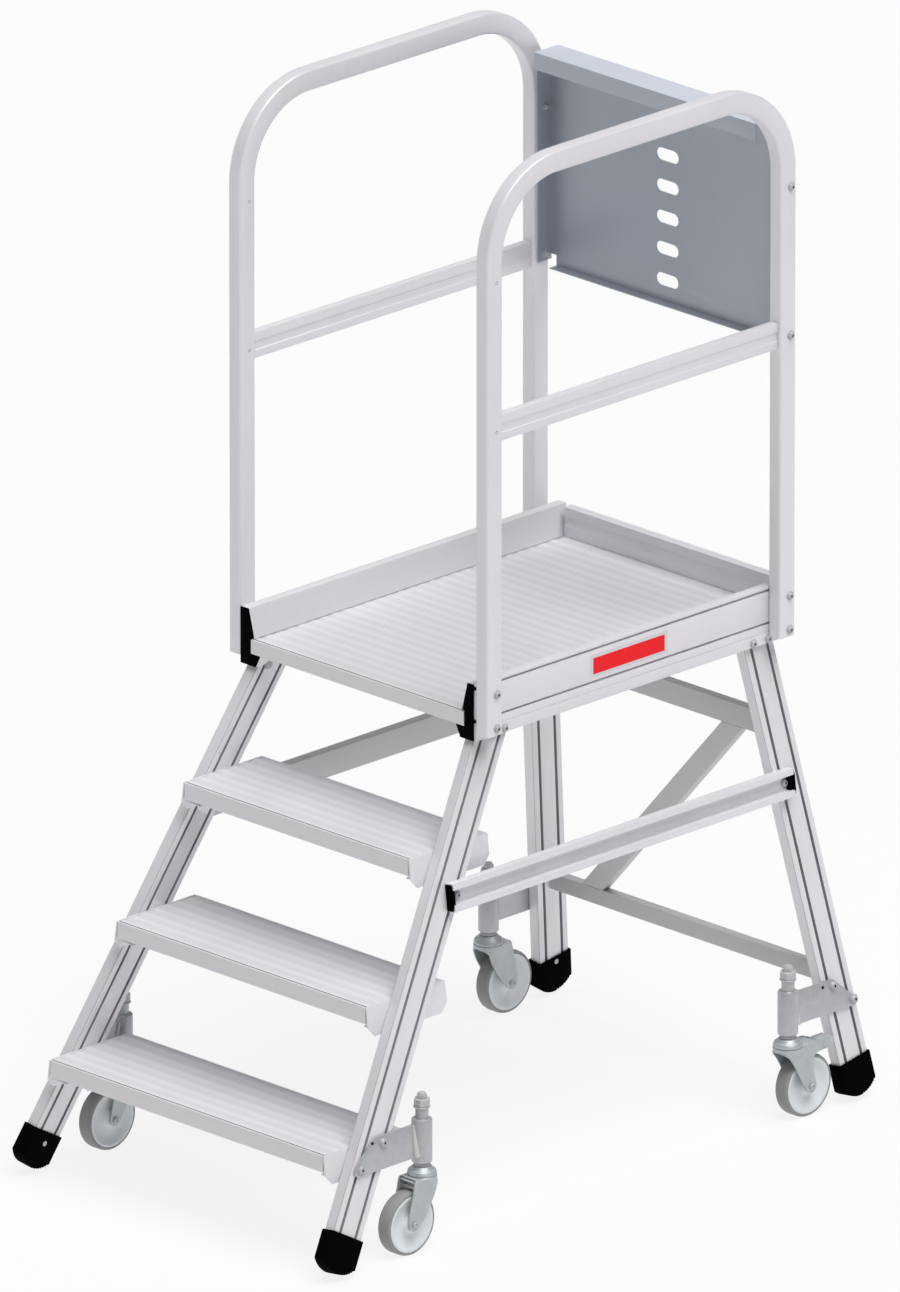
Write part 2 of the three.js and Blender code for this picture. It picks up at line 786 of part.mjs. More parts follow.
// Fork: crown on the stem's axis and two cheeks down to the axle. On a braked one the
// cheeks run on into arms for the pedal's pin. direction is the side the wheel trails on.
const pedalPinY = 74;
const pedalPinZ = 131;
function forkGeometry(direction, hasBrake) {
  const crown = turned([
    [0, crownBottomZ],
    [24, crownBottomZ],
    [28, crownBottomZ + 4],
    [28, crownTopZ - 12],
    [25, crownTopZ - 6],
    [16, crownTopZ],
    [0, crownTopZ],
  ]);
  const axleY = direction * castorTrail;
  const shoulder = crownBottomZ + 8;
  const topReach = 37;
  const front = [
    [-23, shoulder],
    [-23, 130],
    [-11, 118],
    [1, 98],
    [13, 77],
    [28, 56],
  ];
  const foot = arcPoints(castorTrail + 1, wheelRadius, 12.5, 3.6, 2 * Math.PI + 0.3, 5);
  const arm = [
    [46, 93],
    [43, 110],
    [50, 122],
    [80, 124],
    [pedalPinY + 10, pedalPinZ],
    [pedalPinY + 8, pedalPinZ + 4],
    [56, 143],
    [22, 151],
  ];
  const plain = [
    [52.5, 80],
    [48, 99],
    [43, 118],
    [topReach, shoulder + 1],
    [22, shoulder + 8],
  ];
  const cheekPoints = [...front, ...foot, ...(hasBrake ? arm : plain)];
  const placed = cheekPoints.map(([a, b]) => [direction * a, b]);
  const shape = outline(direction > 0 ? placed : placed.reverse());
  const cheekInner = 19.5;
  const cheekOuter = 22.5;
  const cheeks = [alongX(shape, cheekInner, cheekOuter), alongX(shape, -cheekOuter, -cheekInner)];
  const bore = cylinder(4.3, -40, 40, 12).rotateY(Math.PI / 2).translate(0, axleY, wheelRadius);
  const pinBore = cylinder(3.3, -40, 40, 12).rotateY(Math.PI / 2);
  pinBore.translate(0, direction * pedalPinY, pedalPinZ);
  const top = block([-22.5, 0, shoulder - 2], [22.5, topReach, shoulder + 1]);
  if (direction < 0) top.rotateZ(Math.PI);
  return build([crown, top, ...cheeks], hasBrake ? [bore, pinBore] : [bore]);
}

// Wheel about X: hub, web and tyre as one moulding.
function wheelGeometry() {
  const half = wheelWidth / 2;
  const radius = wheelRadius;
  const profile = [
    [6, -half - 2],
    [13, -half - 2],
    [16, -half + 6],
    [40, -half + 6],
    [43, -half],
    [radius - 3.5, -half],
    [radius, -half + 3],
    [radius, half - 3],
    [radius - 3.5, half],
    [43, half],
    [40, half - 6],
    [16, half - 6],
    [13, half + 2],
    [6, half + 2],
    [6, -half - 2],
  ];
  return turned(profile, 28).rotateY(Math.PI / 2);
}

// Axle along X with a domed head at each end, clear of the fork and the wheel.
function axleGeometry() {
  const end = 22.5 + gap;
  const profile = [
    [0, -end - 4],
    [5, -end - 4],
    [6.5, -end],
    [4, -end],
    [4, end],
    [6.5, end],
    [5, end + 4],
    [0, end + 4],
  ];
  return turned(profile, 12).rotateY(Math.PI / 2);
}

// Brake pedal: folded tab on a pin between the fork's arms, over the wheel.
function pedalGeometry(direction) {
  const tabFront = pedalPinY + 3;
  const tabRear = pedalPinY + 29;
  const tabTop = pedalPinZ + 8;
  const lip = 9;
  const sheet = 2.5;
  const points = [
    [pedalPinY - 6, pedalPinZ - 3],
    [pedalPinY - 6, tabTop - 6],
    [tabFront, tabTop],
    [tabRear, tabTop],
    [tabRear, tabTop - sheet],
    [pedalPinY + 8, tabTop - sheet],
    [pedalPinY + 6, pedalPinZ - 3],
  ].map(([a, b]) => [direction * a, b]);
  const shape = outline(direction > 0 ? points.reverse() : points);
  const flapPoints = [
    [tabFront, tabTop - 1],
    [tabRear, tabTop - 1],
    [tabRear, tabTop - lip],
    [tabFront, tabTop - lip],
  ].map(([a, b]) => [direction * a, b]);
  const flap = outline(direction > 0 ? flapPoints.reverse() : flapPoints);
  const pin = cylinder(3, -23.5, 23.5, 12).rotateY(Math.PI / 2);
  pin.translate(0, direction * pedalPinY, pedalPinZ);
  return build([alongX(shape, -15, 15), alongX(flap, 12.5, 15), alongX(flap, -15, -12.5), pin]);
}

const castors = [
  {
    place: "front",
    y: frontCastorY,
    direction: -1,
    bolts: [[159.5, 753, 4.2], [98.5, 717, 4.2], [124.5, 712, 3]],
  },
  {
    place: "rear",
    y: rearCastorY,
    direction: 1,
    bolts: [[117.5, 716, 4.2], [166.5, 753, 4.2], [91.5, 713, 3]],
  },
];
const braked = ["front_left", "rear_right"];

for (const castor of castors) {
  for (const side of sides) {
    addCastorBracket(side, castor.place, castor.y, castor.direction, castor.bolts);
    const label = `${castor.place}_${side.name}`;
    const station = new THREE.Group();
    station.position.set(side.sign * castorX, castor.y, -deckHeight);
    frame.add(station);
    piece(station, `castor_stem_${label}`, stemGeometry(), galvanised());
    piece(station, `castor_spring_${label}`, springGeometry(), springSteel());
    const hasBrake = braked.includes(label);
    const fork = forkGeometry(castor.direction, hasBrake);
    piece(station, `castor_fork_${label}`, fork, zincPlate());
    const hub = new THREE.Group();
    hub.position.set(0, castor.direction * castorTrail, wheelRadius);
    station.add(hub);
    piece(hub, `castor_wheel_${label}`, wheelGeometry(), greyWheel());
    piece(hub, `castor_axle_${label}`, axleGeometry(), galvanised());
    if (hasBrake) {
      const pedal = pedalGeometry(castor.direction);
      piece(station, `brake_pedal_${label}`, pedal, zincPlate());
    }
  }
}

export default ladder;
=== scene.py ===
import json
import math
import random
import bmesh
import bpy
from mathutils import Matrix, Vector


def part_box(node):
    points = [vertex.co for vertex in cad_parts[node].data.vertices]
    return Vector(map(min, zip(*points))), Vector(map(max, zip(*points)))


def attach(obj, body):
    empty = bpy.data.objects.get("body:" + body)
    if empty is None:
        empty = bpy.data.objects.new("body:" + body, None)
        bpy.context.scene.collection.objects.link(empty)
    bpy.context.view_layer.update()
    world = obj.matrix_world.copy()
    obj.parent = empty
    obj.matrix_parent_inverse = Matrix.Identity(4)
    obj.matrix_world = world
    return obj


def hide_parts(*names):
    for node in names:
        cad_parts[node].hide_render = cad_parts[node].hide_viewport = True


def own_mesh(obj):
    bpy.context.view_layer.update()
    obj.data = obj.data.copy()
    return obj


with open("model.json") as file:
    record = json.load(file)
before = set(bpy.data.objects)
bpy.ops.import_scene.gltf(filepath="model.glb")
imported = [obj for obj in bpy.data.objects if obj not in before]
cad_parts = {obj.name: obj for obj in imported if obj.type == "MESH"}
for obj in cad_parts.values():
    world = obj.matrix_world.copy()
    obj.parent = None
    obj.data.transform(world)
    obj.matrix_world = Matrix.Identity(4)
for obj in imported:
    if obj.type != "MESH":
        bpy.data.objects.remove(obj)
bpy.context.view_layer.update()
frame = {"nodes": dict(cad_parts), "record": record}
random.seed(21)
mm = 0.001
print("ladder: frame loaded,", len(frame["nodes"]), "nodes")

bodyOf = {}
for bodyName, members in frame["record"]["behaviour"]["bodies"].items():
    for member in members:
        bodyOf[member] = bodyName

deckLow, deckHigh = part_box("platform_deck")
deckLength = (deckHigh.y - deckLow.y) / mm
legSpan = 284.0  # outer faces of the legs at platform level, from the middle
splay = math.atan(0.132)  # outward lean of the legs
sideSigns = {"left": -1, "right": 1}


def at(x, y, z):
    # millimetres from the middle of the platform's front edge, at its top
    return Vector((x * mm, deckLow.y + y * mm, deckHigh.z + z * mm))


def onSide(sign, out, y, down):
    # point on a splayed side: out from the legs' outer faces, down along the slope
    x = legSpan + out * math.cos(splay) + down * math.sin(splay)
    return at(sign * x, y, out * math.sin(splay) - down * math.cos(splay))


def sideNormal(sign):
    return Vector((sign * math.cos(splay), 0, math.sin(splay)))


# finishes

legRun = {"front": math.atan(0.575), "rear": -math.atan(0.173)}


def legDirection(place, sign):
    lean = legRun[place]
    down = Vector((sign * math.sin(splay), 0, -math.cos(splay)))
    return down * math.cos(lean) + Vector((0, -1, 0)) * math.sin(lean)


def node(tree, kind, x, y, **sockets):
    new = tree.nodes.new(kind)
    new.location = (x, y)
    for key, value in sockets.items():
        new.inputs[key.replace("_", " ")].default_value = value
    return new


def mixColour(tree, x, y, blend, factor):
    mix = tree.nodes.new("ShaderNodeMix")
    mix.data_type = "RGBA"
    mix.blend_type = blend
    mix.location = (x, y)
    mix.inputs[0].default_value = factor
    return mix


def shaded(tree, x, y, tone, shade):
    # the tone, darkened by the shade
    mix = mixColour(tree, x, y, "MULTIPLY", 1.0)
    tree.links.new(tone, mix.inputs[6])
    tree.links.new(shade, mix.inputs[7])
    return mix.outputs[2]


def ramp(tree, x, y, source, stops):
    # grey levels from a source between 0 and 1
    new = tree.nodes.new("ShaderNodeValToRGB")
    new.location = (x, y)
    bar = new.color_ramp.elements
    while len(bar) < len(stops):
        bar.new(0.5)
    for element, (position, level) in zip(bar, stops):
        element.position = position
        element.color = (level, level, level, 1)
    tree.links.new(source, new.inputs["Fac"])
    return new.outputs["Color"]


def makeFinish(name, look, along=(0, 0, 1), crestY=0.0):
    # one finish: broad patches, streaks along the given direction, fine speckle,
    # paler sharp edges, and a bump from the streaks and the speckle
    material = bpy.data.materials.new(name)
    material.use_nodes = True
    tree = material.node_tree
    shader = tree.nodes["Principled BSDF"]
    shader.inputs["Metallic"].default_value = look["metallic"]
    shader.inputs["Specular IOR Level"].default_value = look.get("specular", 0.5)
    link = tree.links.new
    place = node(tree, "ShaderNodeTexCoord", -1600, 0)
    turn = node(tree, "ShaderNodeMapping", -1400, 200)
    turn.vector_type = "TEXTURE"
    quaternion = Vector(along).normalized().to_track_quat("Z", "Y")
    turn.inputs["Rotation"].default_value = quaternion.to_euler()
    squeeze = node(tree, "ShaderNodeMapping", -1200, 200)
    squeeze.inputs["Scale"].default_value = (1, 1, look.get("stretch", 0.03))
    link(place.outputs["Object"], turn.inputs["Vector"])
    link(turn.outputs["Vector"], squeeze.inputs["Vector"])
    streaks = node(tree, "ShaderNodeTexNoise", -1000, 200, Scale=look.get("grain", 420.0), Detail=3.0)
    patches = node(tree, "ShaderNodeTexNoise", -1000, 500, Scale=look.get("patch", 5.0), Detail=4.0)
    speckle = node(tree, "ShaderNodeTexNoise", -1000, -100, Scale=look.get("fleck", 900.0), Detail=2.0)
    link(squeeze.outputs["Vector"], streaks.inputs["Vector"])
    link(place.outputs["Object"], patches.inputs["Vector"])
    link(place.outputs["Object"], speckle.inputs["Vector"])
    shades = ramp(tree, -780, 500, patches.outputs["Fac"], [(0.3, 0), (0.7, 1)])
    base = mixColour(tree, -520, 500, "MIX", 0.5)
    link(shades, base.inputs[0])
    spread = look.get("spread", 0.03)
    base.inputs[6].default_value = (*[c * (1 - spread) for c in look["colour"]], 1)
    base.inputs[7].default_value = (*[min(1, c * (1 + spread)) for c in look["colour"]], 1)
    streakStops = [(0.25, 1 - look.get("streak", 0.05)), (0.75, 1)]
    streakTone = ramp(tree, -780, 200, streaks.outputs["Fac"], streakStops)
    tone = shaded(tree, -320, 350, base.outputs[2], streakTone)
    fleckStops = [(0.3, 1 - look.get("fleckTone", 0.06)), (0.7, 1)]
    fleckTone = ramp(tree, -780, -100, speckle.outputs["Fac"], fleckStops)
    tone = shaded(tree, -120, 300, tone, fleckTone)
    shape = node(tree, "ShaderNodeNewGeometry", -1000, 800)
    # sharp edges, found by pointiness, are mixed towards a paler colour
    edges = ramp(tree, -520, 800, shape.outputs["Pointiness"], [(0.5, 0), (0.62, 1)])
    paleEdgeMix = mixColour(tree, 80, 400, "MIX", 0.5)
    edgeAmount = tree.nodes.new("ShaderNodeMath")
    edgeAmount.operation = "MULTIPLY"
    edgeAmount.location = (-120, 700)
    edgeAmount.inputs[1].default_value = look.get("rub", 0.3)
    link(edges, edgeAmount.inputs[0])
    link(edgeAmount.outputs["Value"], paleEdgeMix.inputs[0])
    if "bandPitch" in look:
        # soft shade in the hollows between the ribs, one band per rib
        wave = node(tree, "ShaderNodeTexWave", -1000, -400)
        wave.bands_direction = "Y"
        turns = 2 * math.pi / (look["bandPitch"] * mm)
        wave.inputs["Scale"].default_value = turns / 20
        wave.inputs["Phase Offset"].default_value = math.pi - (turns * crestY) % (2 * math.pi)
        link(place.outputs["Object"], wave.inputs["Vector"])
        bandStops = [(0.0, 1 - look["bandShade"]), (1.0, 1)]
        bandTone = ramp(tree, -780, -400, wave.outputs["Fac"], bandStops)
        tone = shaded(tree, 0, 200, tone, bandTone)
    link(tone, paleEdgeMix.inputs[6])
    paleEdgeMix.inputs[7].default_value = (*look.get("rubColour", look["colour"]), 1)
    link(paleEdgeMix.outputs[2], shader.inputs["Base Color"])
    rough = node(tree, "ShaderNodeMapRange", -320, 0)
    rough.inputs["To Min"].default_value = look["roughness"][0]
    rough.inputs["To Max"].default_value = look["roughness"][1]
    link(patches.outputs["Fac"], rough.inputs["Value"])
    link(rough.outputs["Result"], shader.inputs["Roughness"])
    relief = mixColour(tree, -520, -250, "MIX", look.get("fleckShare", 0.5))
    link(streaks.outputs["Fac"], relief.inputs[6])
    link(speckle.outputs["Fac"], relief.inputs[7])
    bump = node(tree, "ShaderNodeBump", -120, -250)
    bump.inputs["Strength"].default_value = look.get("bump", 0.15)
    bump.inputs["Distance"].default_value = 0.0002
    link(relief.outputs[2], bump.inputs["Height"])
    link(bump.outputs["Normal"], shader.inputs["Normal"])
    return material


aluminiumLook = {
    "colour": (0.8, 0.78, 0.82),
    "metallic": 0.2,
    "roughness": (0.38, 0.52),
    "spread": 0.03,
    "streak": 0.05,
    "fleckTone": 0.05,
    "rub": 0.35,
    "rubColour": (0.9, 0.885, 0.92),
}
panelLook = {
    "colour": (0.37, 0.4, 0.465),
    "metallic": 0.3,
    "roughness": (0.35, 0.45),
    "spread": 0.04,
    "streak": 0.03,
    "fleckTone": 0.03,
    "stretch": 0.3,
    "bump": 0.06,
    "rub": 0.25,
    "rubColour": (0.55, 0.58, 0.64),
}
rubberLook = {
    "colour": (0.0012, 0.0012, 0.0012),
    "metallic": 0.0,
    "roughness": (0.75, 0.9),
    "specular": 0.02,
    "spread": 0.2,
    "fleck": 1400.0,
    "fleckTone": 0.3,
    "bump": 0.3,
    "rub": 0.15,
    "rubColour": (0.004, 0.004, 0.004),
}
capLook = dict(rubberLook, roughness=(0.6, 0.75), bump=0.12, specular=0.02)
plateLook = {
    "colour": (0.5, 0.51, 0.54),
    "metallic": 0.45,
    "roughness": (0.34, 0.5),
    "spread": 0.07,
    "patch": 60.0,
    "streak": 0.04,
    "stretch": 0.5,
    "fleckTone": 0.09,
    "rub": 0.4,
    "rubColour": (0.62, 0.63, 0.65),
}
forkLook = dict(plateLook, colour=(0.5, 0.54, 0.555), roughness=(0.36, 0.5), patch=45.0, metallic=0.4)
boltLook = dict(plateLook, colour=(0.5, 0.505, 0.53), roughness=(0.5, 0.64), patch=80.0, metallic=0.2)
springWireLook = dict(plateLook, colour=(0.3, 0.3, 0.31), metallic=0.85, roughness=(0.3, 0.4))
rimLook = {
    "colour": (0.74, 0.78, 0.8),
    "metallic": 0.0,
    "roughness": (0.42, 0.55),
    "spread": 0.03,
    "streak": 0.02,
    "stretch": 1.0,
    "fleckTone": 0.05,
    "bump": 0.1,
    "rub": 0.2,
    "rubColour": (0.8, 0.83, 0.845),
}
tyreLook = dict(rimLook, colour=(0.29, 0.29, 0.295), roughness=(0.6, 0.75), fleckTone=0.08)
tyreLook.update(rub=0.3, rubColour=(0.37, 0.37, 0.375))
socketLook = dict(rubberLook, colour=(0.03, 0.03, 0.032))
labelLook = dict(rimLook, colour=(0.66, 0.65, 0.68), roughness=(0.35, 0.45), bump=0.03)
markLook = dict(rimLook, colour=(0.95, 0.012, 0.02), roughness=(0.4, 0.5), bump=0.03, rub=0.0, specular=0.15)

# a darker copy of the aluminium: painted shade for bars that lie in shadow under the platform
paintedShadeBarLook = dict(aluminiumLook, colour=(0.56, 0.545, 0.565), rubColour=(0.66, 0.65, 0.67))
acrossBars = makeFinish("aluminiumAcross", aluminiumLook, (1, 0, 0))
paintedShadeCrossBars = makeFinish("aluminiumBarsPaintedShade", paintedShadeBarLook, (1, 0, 0))
ribbedLook = dict(aluminiumLook, bandPitch=28.0, bandShade=0.13)
grooveShade = makeFinish("grooveShade", dict(aluminiumLook, colour=(0.2, 0.195, 0.205), rub=0.0), (1, 0, 0))
lengthBars = makeFinish("aluminiumAlong", aluminiumLook, (0, 1, 0))
shadedBars = makeFinish("aluminiumShaded", paintedShadeBarLook, (0, 1, 0))
uprightBars = makeFinish("aluminiumUpright", aluminiumLook, (0, 0, 1))
# darker aluminium: painted shade in the legs' grooves
legGroovePaintedShade = makeFinish("legGroovePaintedShade", dict(aluminiumLook, colour=(0.4, 0.39, 0.41), rub=0.0))
legBars = {}
for place in ("front", "rear"):
    for side, sign in sideSigns.items():
        label = f"{place}_{side}"
        legBars[label] = makeFinish(f"aluminiumLeg_{label}", aluminiumLook, legDirection(place, sign))
# a lighter copy of the panel finish: painted light on the upward faces of the folded top
panelTopPaintedLightLook = dict(panelLook, colour=(0.7, 0.745, 0.85), rubColour=(0.76, 0.79, 0.88))
panelSheet = makeFinish("panelSheet", panelLook, (1, 0, 0))
panelTopPaintedLight = makeFinish("panelTopPaintedLight", panelTopPaintedLightLook, (1, 0, 0))
footRubber = makeFinish("footRubber", rubberLook)
capPlastic = makeFinish("capPlastic", capLook)
castorPlateZinc = makeFinish("castorPlateZinc", plateLook, (0, 1, 0))
weldLook = dict(plateLook, colour=(0.66, 0.65, 0.61), metallic=0.2, roughness=(0.45, 0.6))
forkZinc = makeFinish("forkZinc", forkLook)
weldMetal = makeFinish("weldMetal", weldLook)
boltSteel = makeFinish("boltSteel", boltLook)
springWire = makeFinish("springWire", springWireLook)
rimNylon = makeFinish("rimNylon", rimLook)
tyreRubber = makeFinish("tyreRubber", tyreLook)
socketShadow = makeFinish("socketShadow", socketLook)
labelFilm = makeFinish("labelFilm", labelLook)
labelMark = makeFinish("labelMark", markLook)
print("ladder: finishes ready")


# making pieces


def finishPiece(name, bm, material, body, replaced=(), smooth=30.0):
    bmesh.ops.recalc_face_normals(bm, faces=bm.faces)
    mesh = bpy.data.meshes.new(name)
    bm.to_mesh(mesh)
    bm.free()
    materials = material if isinstance(material, (list, tuple)) else [material]
    for entry in materials:
        mesh.materials.append(entry)
    mesh.shade_smooth()
    mesh.set_sharp_from_angle(angle=math.radians(smooth))
    piece = bpy.data.objects.new(name, mesh)
    bpy.context.scene.collection.objects.link(piece)
    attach(piece, body)
    if replaced:
        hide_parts(*replaced)
    return piece


def sharpEdges(bm, angle=25.0):
    limit = math.radians(angle)
    return [e for e in bm.edges if len(e.link_faces) == 2 and e.calc_face_angle(0) > limit]


def roundEdges(bm, width, segments=2, angle=25.0):
    bmesh.ops.bevel(
        bm,
        geom=sharpEdges(bm, angle),
        offset=width * mm,
        segments=segments,
        profile=0.6,
        affect="EDGES",
        clamp_overlap=True,
    )


def refine(nodeName, material, width, segments=2):
    # the CAD shape again with its flat faces made whole and its edges rounded
    bm = bmesh.new()
    bm.from_mesh(frame["nodes"][nodeName].data)
    bmesh.ops.remove_doubles(bm, verts=bm.verts, dist=1e-5)
    bmesh.ops.dissolve_limit(bm, angle_limit=math.radians(0.4), verts=bm.verts, edges=bm.edges)
    roundEdges(bm, width, segments)
    body = bodyOf[nodeName]
    return finishPiece(f"{nodeName}_finished", bm, material, body, [nodeName])


def extrudeFace(bm, points, offset):
    # a closed outline of points, drawn out by the offset
    corners = [bm.verts.new(p) for p in points]
    face = bm.faces.new(corners)
    made = bmesh.ops.extrude_face_region(bm, geom=[face])
    moved = [g for g in made["geom"] if isinstance(g, bmesh.types.BMVert)]
    bmesh.ops.translate(bm, verts=moved, vec=offset)


def ringAround(bm, centre, side, other, radius, count, turn=0.0):
    # corners of a circle, its radius in mm, from one direction towards the other
    ring = []
    for i in range(count):
        angle = turn + 2 * math.pi * i / count
        spoke = side * math.cos(angle) + other * math.sin(angle)
        ring.append(bm.verts.new(centre + spoke * radius * mm))
    return ring


def joinRings(bm, rings, capped=True):
    for lower, upper in zip(rings, rings[1:]):
        for i in range(len(lower)):
            j = (i + 1) % len(lower)
            bm.faces.new([lower[i], lower[j], upper[j], upper[i]])
    if capped:
        bm.faces.new(rings[0][::-1])
        bm.faces.new(rings[-1])


def turnProfile(bm, profile, centre, axis, segments=40):
    # body of revolution from [radius, height] pairs in mm, heights along the axis
    axis = Vector(axis).normalized()
    side = axis.orthogonal().normalized()
    other = axis.cross(side)
    rings = []
    for radius, height in profile:
        level = centre + axis * height * mm
        if radius < 1e-6:
            rings.append([bm.verts.new(level)])
        else:
            rings.append(ringAround(bm, level, side, other, radius, segments))
    for lower, upper in zip(rings, rings[1:]):
        for i in range(segments):
            j = (i + 1) % segments
            corners = [lower[i % len(lower)], lower[j % len(lower)]]
            corners += [upper[j % len(upper)], upper[i % len(upper)]]
            unique = []
            for corner in corners:
                if corner not in unique:
                    unique.append(corner)
            if len(unique) > 2:
                bm.faces.new(unique)


def prism(bm, sides, radius, centre, axis, low, high, chamfer=1.0, turn=0.0):
    # hexagon nuts and heads with a chamfered top and bottom
    axis = Vector(axis).normalized()
    side = axis.orthogonal().normalized()
    other = axis.cross(side)
    levels = [(low, radius - chamfer), (low + chamfer * 0.5, radius)]
    levels += [(high - chamfer * 0.5, radius), (high, radius - chamfer)]
    rings = []
    for height, reach in levels:
        level = centre + axis * height * mm
        rings.append(ringAround(bm, level, side, other, reach, sides, turn))
    joinRings(bm, rings)


# screws, nuts and rivets

screwSize = {"washer": 8.4, "washerThick": 1.4, "head": 7.0, "rise": 4.4, "socket": 2.4, "socketDepth": 3.0}


def buttonScrew(bm, centre, axis, size=1.0):
    s = screwSize
    washer = [(0, 0.05), (s["washer"] - 0.4, 0.05), (s["washer"], 0.4)]
    washer += [(s["washer"], s["washerThick"] - 0.3), (s["washer"] - 0.5, s["washerThick"])]
    top = s["washerThick"] + s["rise"]
    dome = [(s["head"], s["washerThick"]), (s["head"], s["washerThick"] + 1.0)]
    for i in range(1, 5):
        angle = math.pi / 2 * i / 5
        height = s["washerThick"] + 1.0 + (s["rise"] - 1.0) * math.sin(angle)
        dome.append((s["head"] * math.cos(angle) * 0.98, height))
    socket = [(s["socket"] + 0.3, top), (s["socket"], top - 0.3), (s["socket"], top - s["socketDepth"])]
    socket.append((0, top - s["socketDepth"] - 0.6))
    profile = [(r * size, h * size) for r, h in washer + dome + socket]
    turnProfile(bm, profile, centre, axis, 24)


def screwSet(name, body, places, size=1.0):
    bm = bmesh.new()
    for centre, axis in places:
        buttonScrew(bm, centre, axis, size)
    # a dark plug a little below each screw's top, painted shadow in the socket
    sockets = bmesh.new()
    r = screwSize["socket"] * size
    high = (screwSize["washerThick"] + screwSize["rise"] - 0.7) * size
    low = high - 0.4 * size
    for centre, axis in places:
        turnProfile(sockets, [(0, low), (r, low), (r, high), (0, high)], centre, axis, 6)
    finishPiece(f"{name}_sockets", sockets, socketShadow, body, smooth=30)
    return finishPiece(name, bm, boltSteel, body, smooth=40)


def nutSet(name, body, places, radius=8.0, height=6.0):
    bm = bmesh.new()
    for centre, axis in places:
        washer = [(0, 0.05), (radius + 1.5, 0.05), (radius + 1.5, 1.3), (radius, 1.5), (0, 1.5)]
        turnProfile(bm, washer, centre, axis, 24)
        prism(bm, 6, radius, centre, axis, 1.6, 1.6 + height, 0.8, random.uniform(0, 1))
        stud = [(0, height), (3.6, height), (3.6, height + 3.4), (3.0, height + 4.0), (0, height + 4.0)]
        turnProfile(bm, stud, centre, axis, 16)
    return finishPiece(name, bm, boltSteel, body, smooth=40)


# legs and feet

legDepth = 73.0
legThick = 25.0
legTopY = {"front": 40.0, "rear": 692.7}  # each leg's front edge at platform level
legLook = {"edge": 0.5, "grooveFrom": 1.0, "grooveTo": 9.0}
footLook = {"edge": 0.4, "rivetRadius": 5.0, "rivetRise": 1.6}


def legPoint(place, sign, out, across, down):
    # across is measured from the leg's front edge, down along it from platform level
    lean = legRun[place]
    y = legTopY[place] + across * math.cos(lean) - down * math.sin(lean)
    slope = across * math.sin(lean) + down * math.cos(lean)
    return onSide(sign, out, y, slope)


def shadeGrooves(piece, outward, lengthways):
    # the faces just under either broad side, other than the ends, take the second finish, painted shade in
    # the grooves
    faces = piece.data.polygons
    across = [face.center.dot(outward) for face in faces]
    inner, outer = min(across), max(across)
    for face, reach in zip(faces, across):
        below = min(outer - reach, reach - inner) / mm
        if legLook["grooveFrom"] < below < legLook["grooveTo"] and abs(face.normal.dot(lengthways)) < 0.5:
            face.material_index = 1


for place in ("front", "rear"):
    for side, sign in sideSigns.items():
        legPiece = refine(f"{place}_leg_{side}", [legBars[f"{place}_{side}"], legGroovePaintedShade], legLook["edge"])
        shadeGrooves(legPiece, sideNormal(sign), legDirection(place, sign))
        refine(f"{place}_foot_{side}", footRubber, footLook["edge"])
        low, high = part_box(f"{place}_foot_{side}")
        length = (deckHigh.z - high.z) / mm / math.cos(splay) / math.cos(legRun[place])
        rivet = bmesh.new()
        centre = legPoint(place, sign, -legThick - 3.0, legDepth / 2 + 2, length + 24)
        r = footLook["rivetRadius"]
        rise = footLook["rivetRise"]
        dome = [(0, -0.5), (r, -0.5), (r, 0.3), (r * 0.8, 1.1), (r * 0.4, rise), (0, rise + 0.1)]
        turnProfile(rivet, dome, centre, -sideNormal(sign), 20)
        finishPiece(f"{place}_foot_rivet_{side}", rivet, boltSteel, "ladder")
print("ladder: legs and feet")


# ribbed treads and platform

ribLook = {
    "wavePitch": 28.0,
    "waveHeight": 1.2,
    "toothPitch": 4.0,
    "toothHeight": 0.14,
    "nosingRadius": 1.6,
    "grooveAt": 5.4,
}


def ribbedOutline(depth, lip, joints=()):
    # front edge at 0, top at 0, going round by the rear, the underside and the lip
    look = ribLook
    r = look["nosingRadius"]
    points = []
    for i in range(5):
        angle = math.pi - math.pi / 2 * i / 4
        points.append((r + r * math.cos(angle), -r + r * math.sin(angle)))
    g = look["grooveAt"]
    points += [(g - 1.3, 0), (g - 1.0, -2.2), (g + 1.0, -2.2), (g + 1.3, 0)]
    start = g + 5.0
    stop = depth - 5.0
    count = int((stop - start) / look["toothPitch"])
    pitch = (stop - start) / count
    for i in range(count):
        y = start + i * pitch
        calm = min([1.0] + [max(0.0, (abs(y + pitch / 2 - joint) - 4.0) / 6.0) for joint in joints])
        wave = look["waveHeight"] * (math.cos(2 * math.pi * (y - start) / look["wavePitch"]) - 1) / 2
        tooth = look["toothHeight"] * calm
        points.append((y + pitch * 0.08, wave - tooth))
        points.append((y + pitch * 0.3, wave))
        points.append((y + pitch * 0.7, wave))
        points.append((y + pitch * 0.92, wave - tooth))
    points += [(stop + 1, 0), (depth - 1, 0), (depth, -1)]
    points += [(depth, -lip + 0.5), (depth - 0.5, -lip), (depth - 14, -lip), (depth - 14, -lip + 2.5)]
    points += [(depth - 2.5, -lip + 2.5), (depth - 2.5, -3)]
    return points


def underside(lip, webs):
    points = []
    for y in sorted(webs, reverse=True):
        points += [(y + 1.4, -3), (y + 1.4, -lip), (y - 1.4, -lip), (y - 1.4, -3)]
    points += [(4, -3), (4, -lip + 2.8), (16, -lip + 2.8), (16, -lip), (0.8, -lip), (0, -lip + 0.8)]
    return points


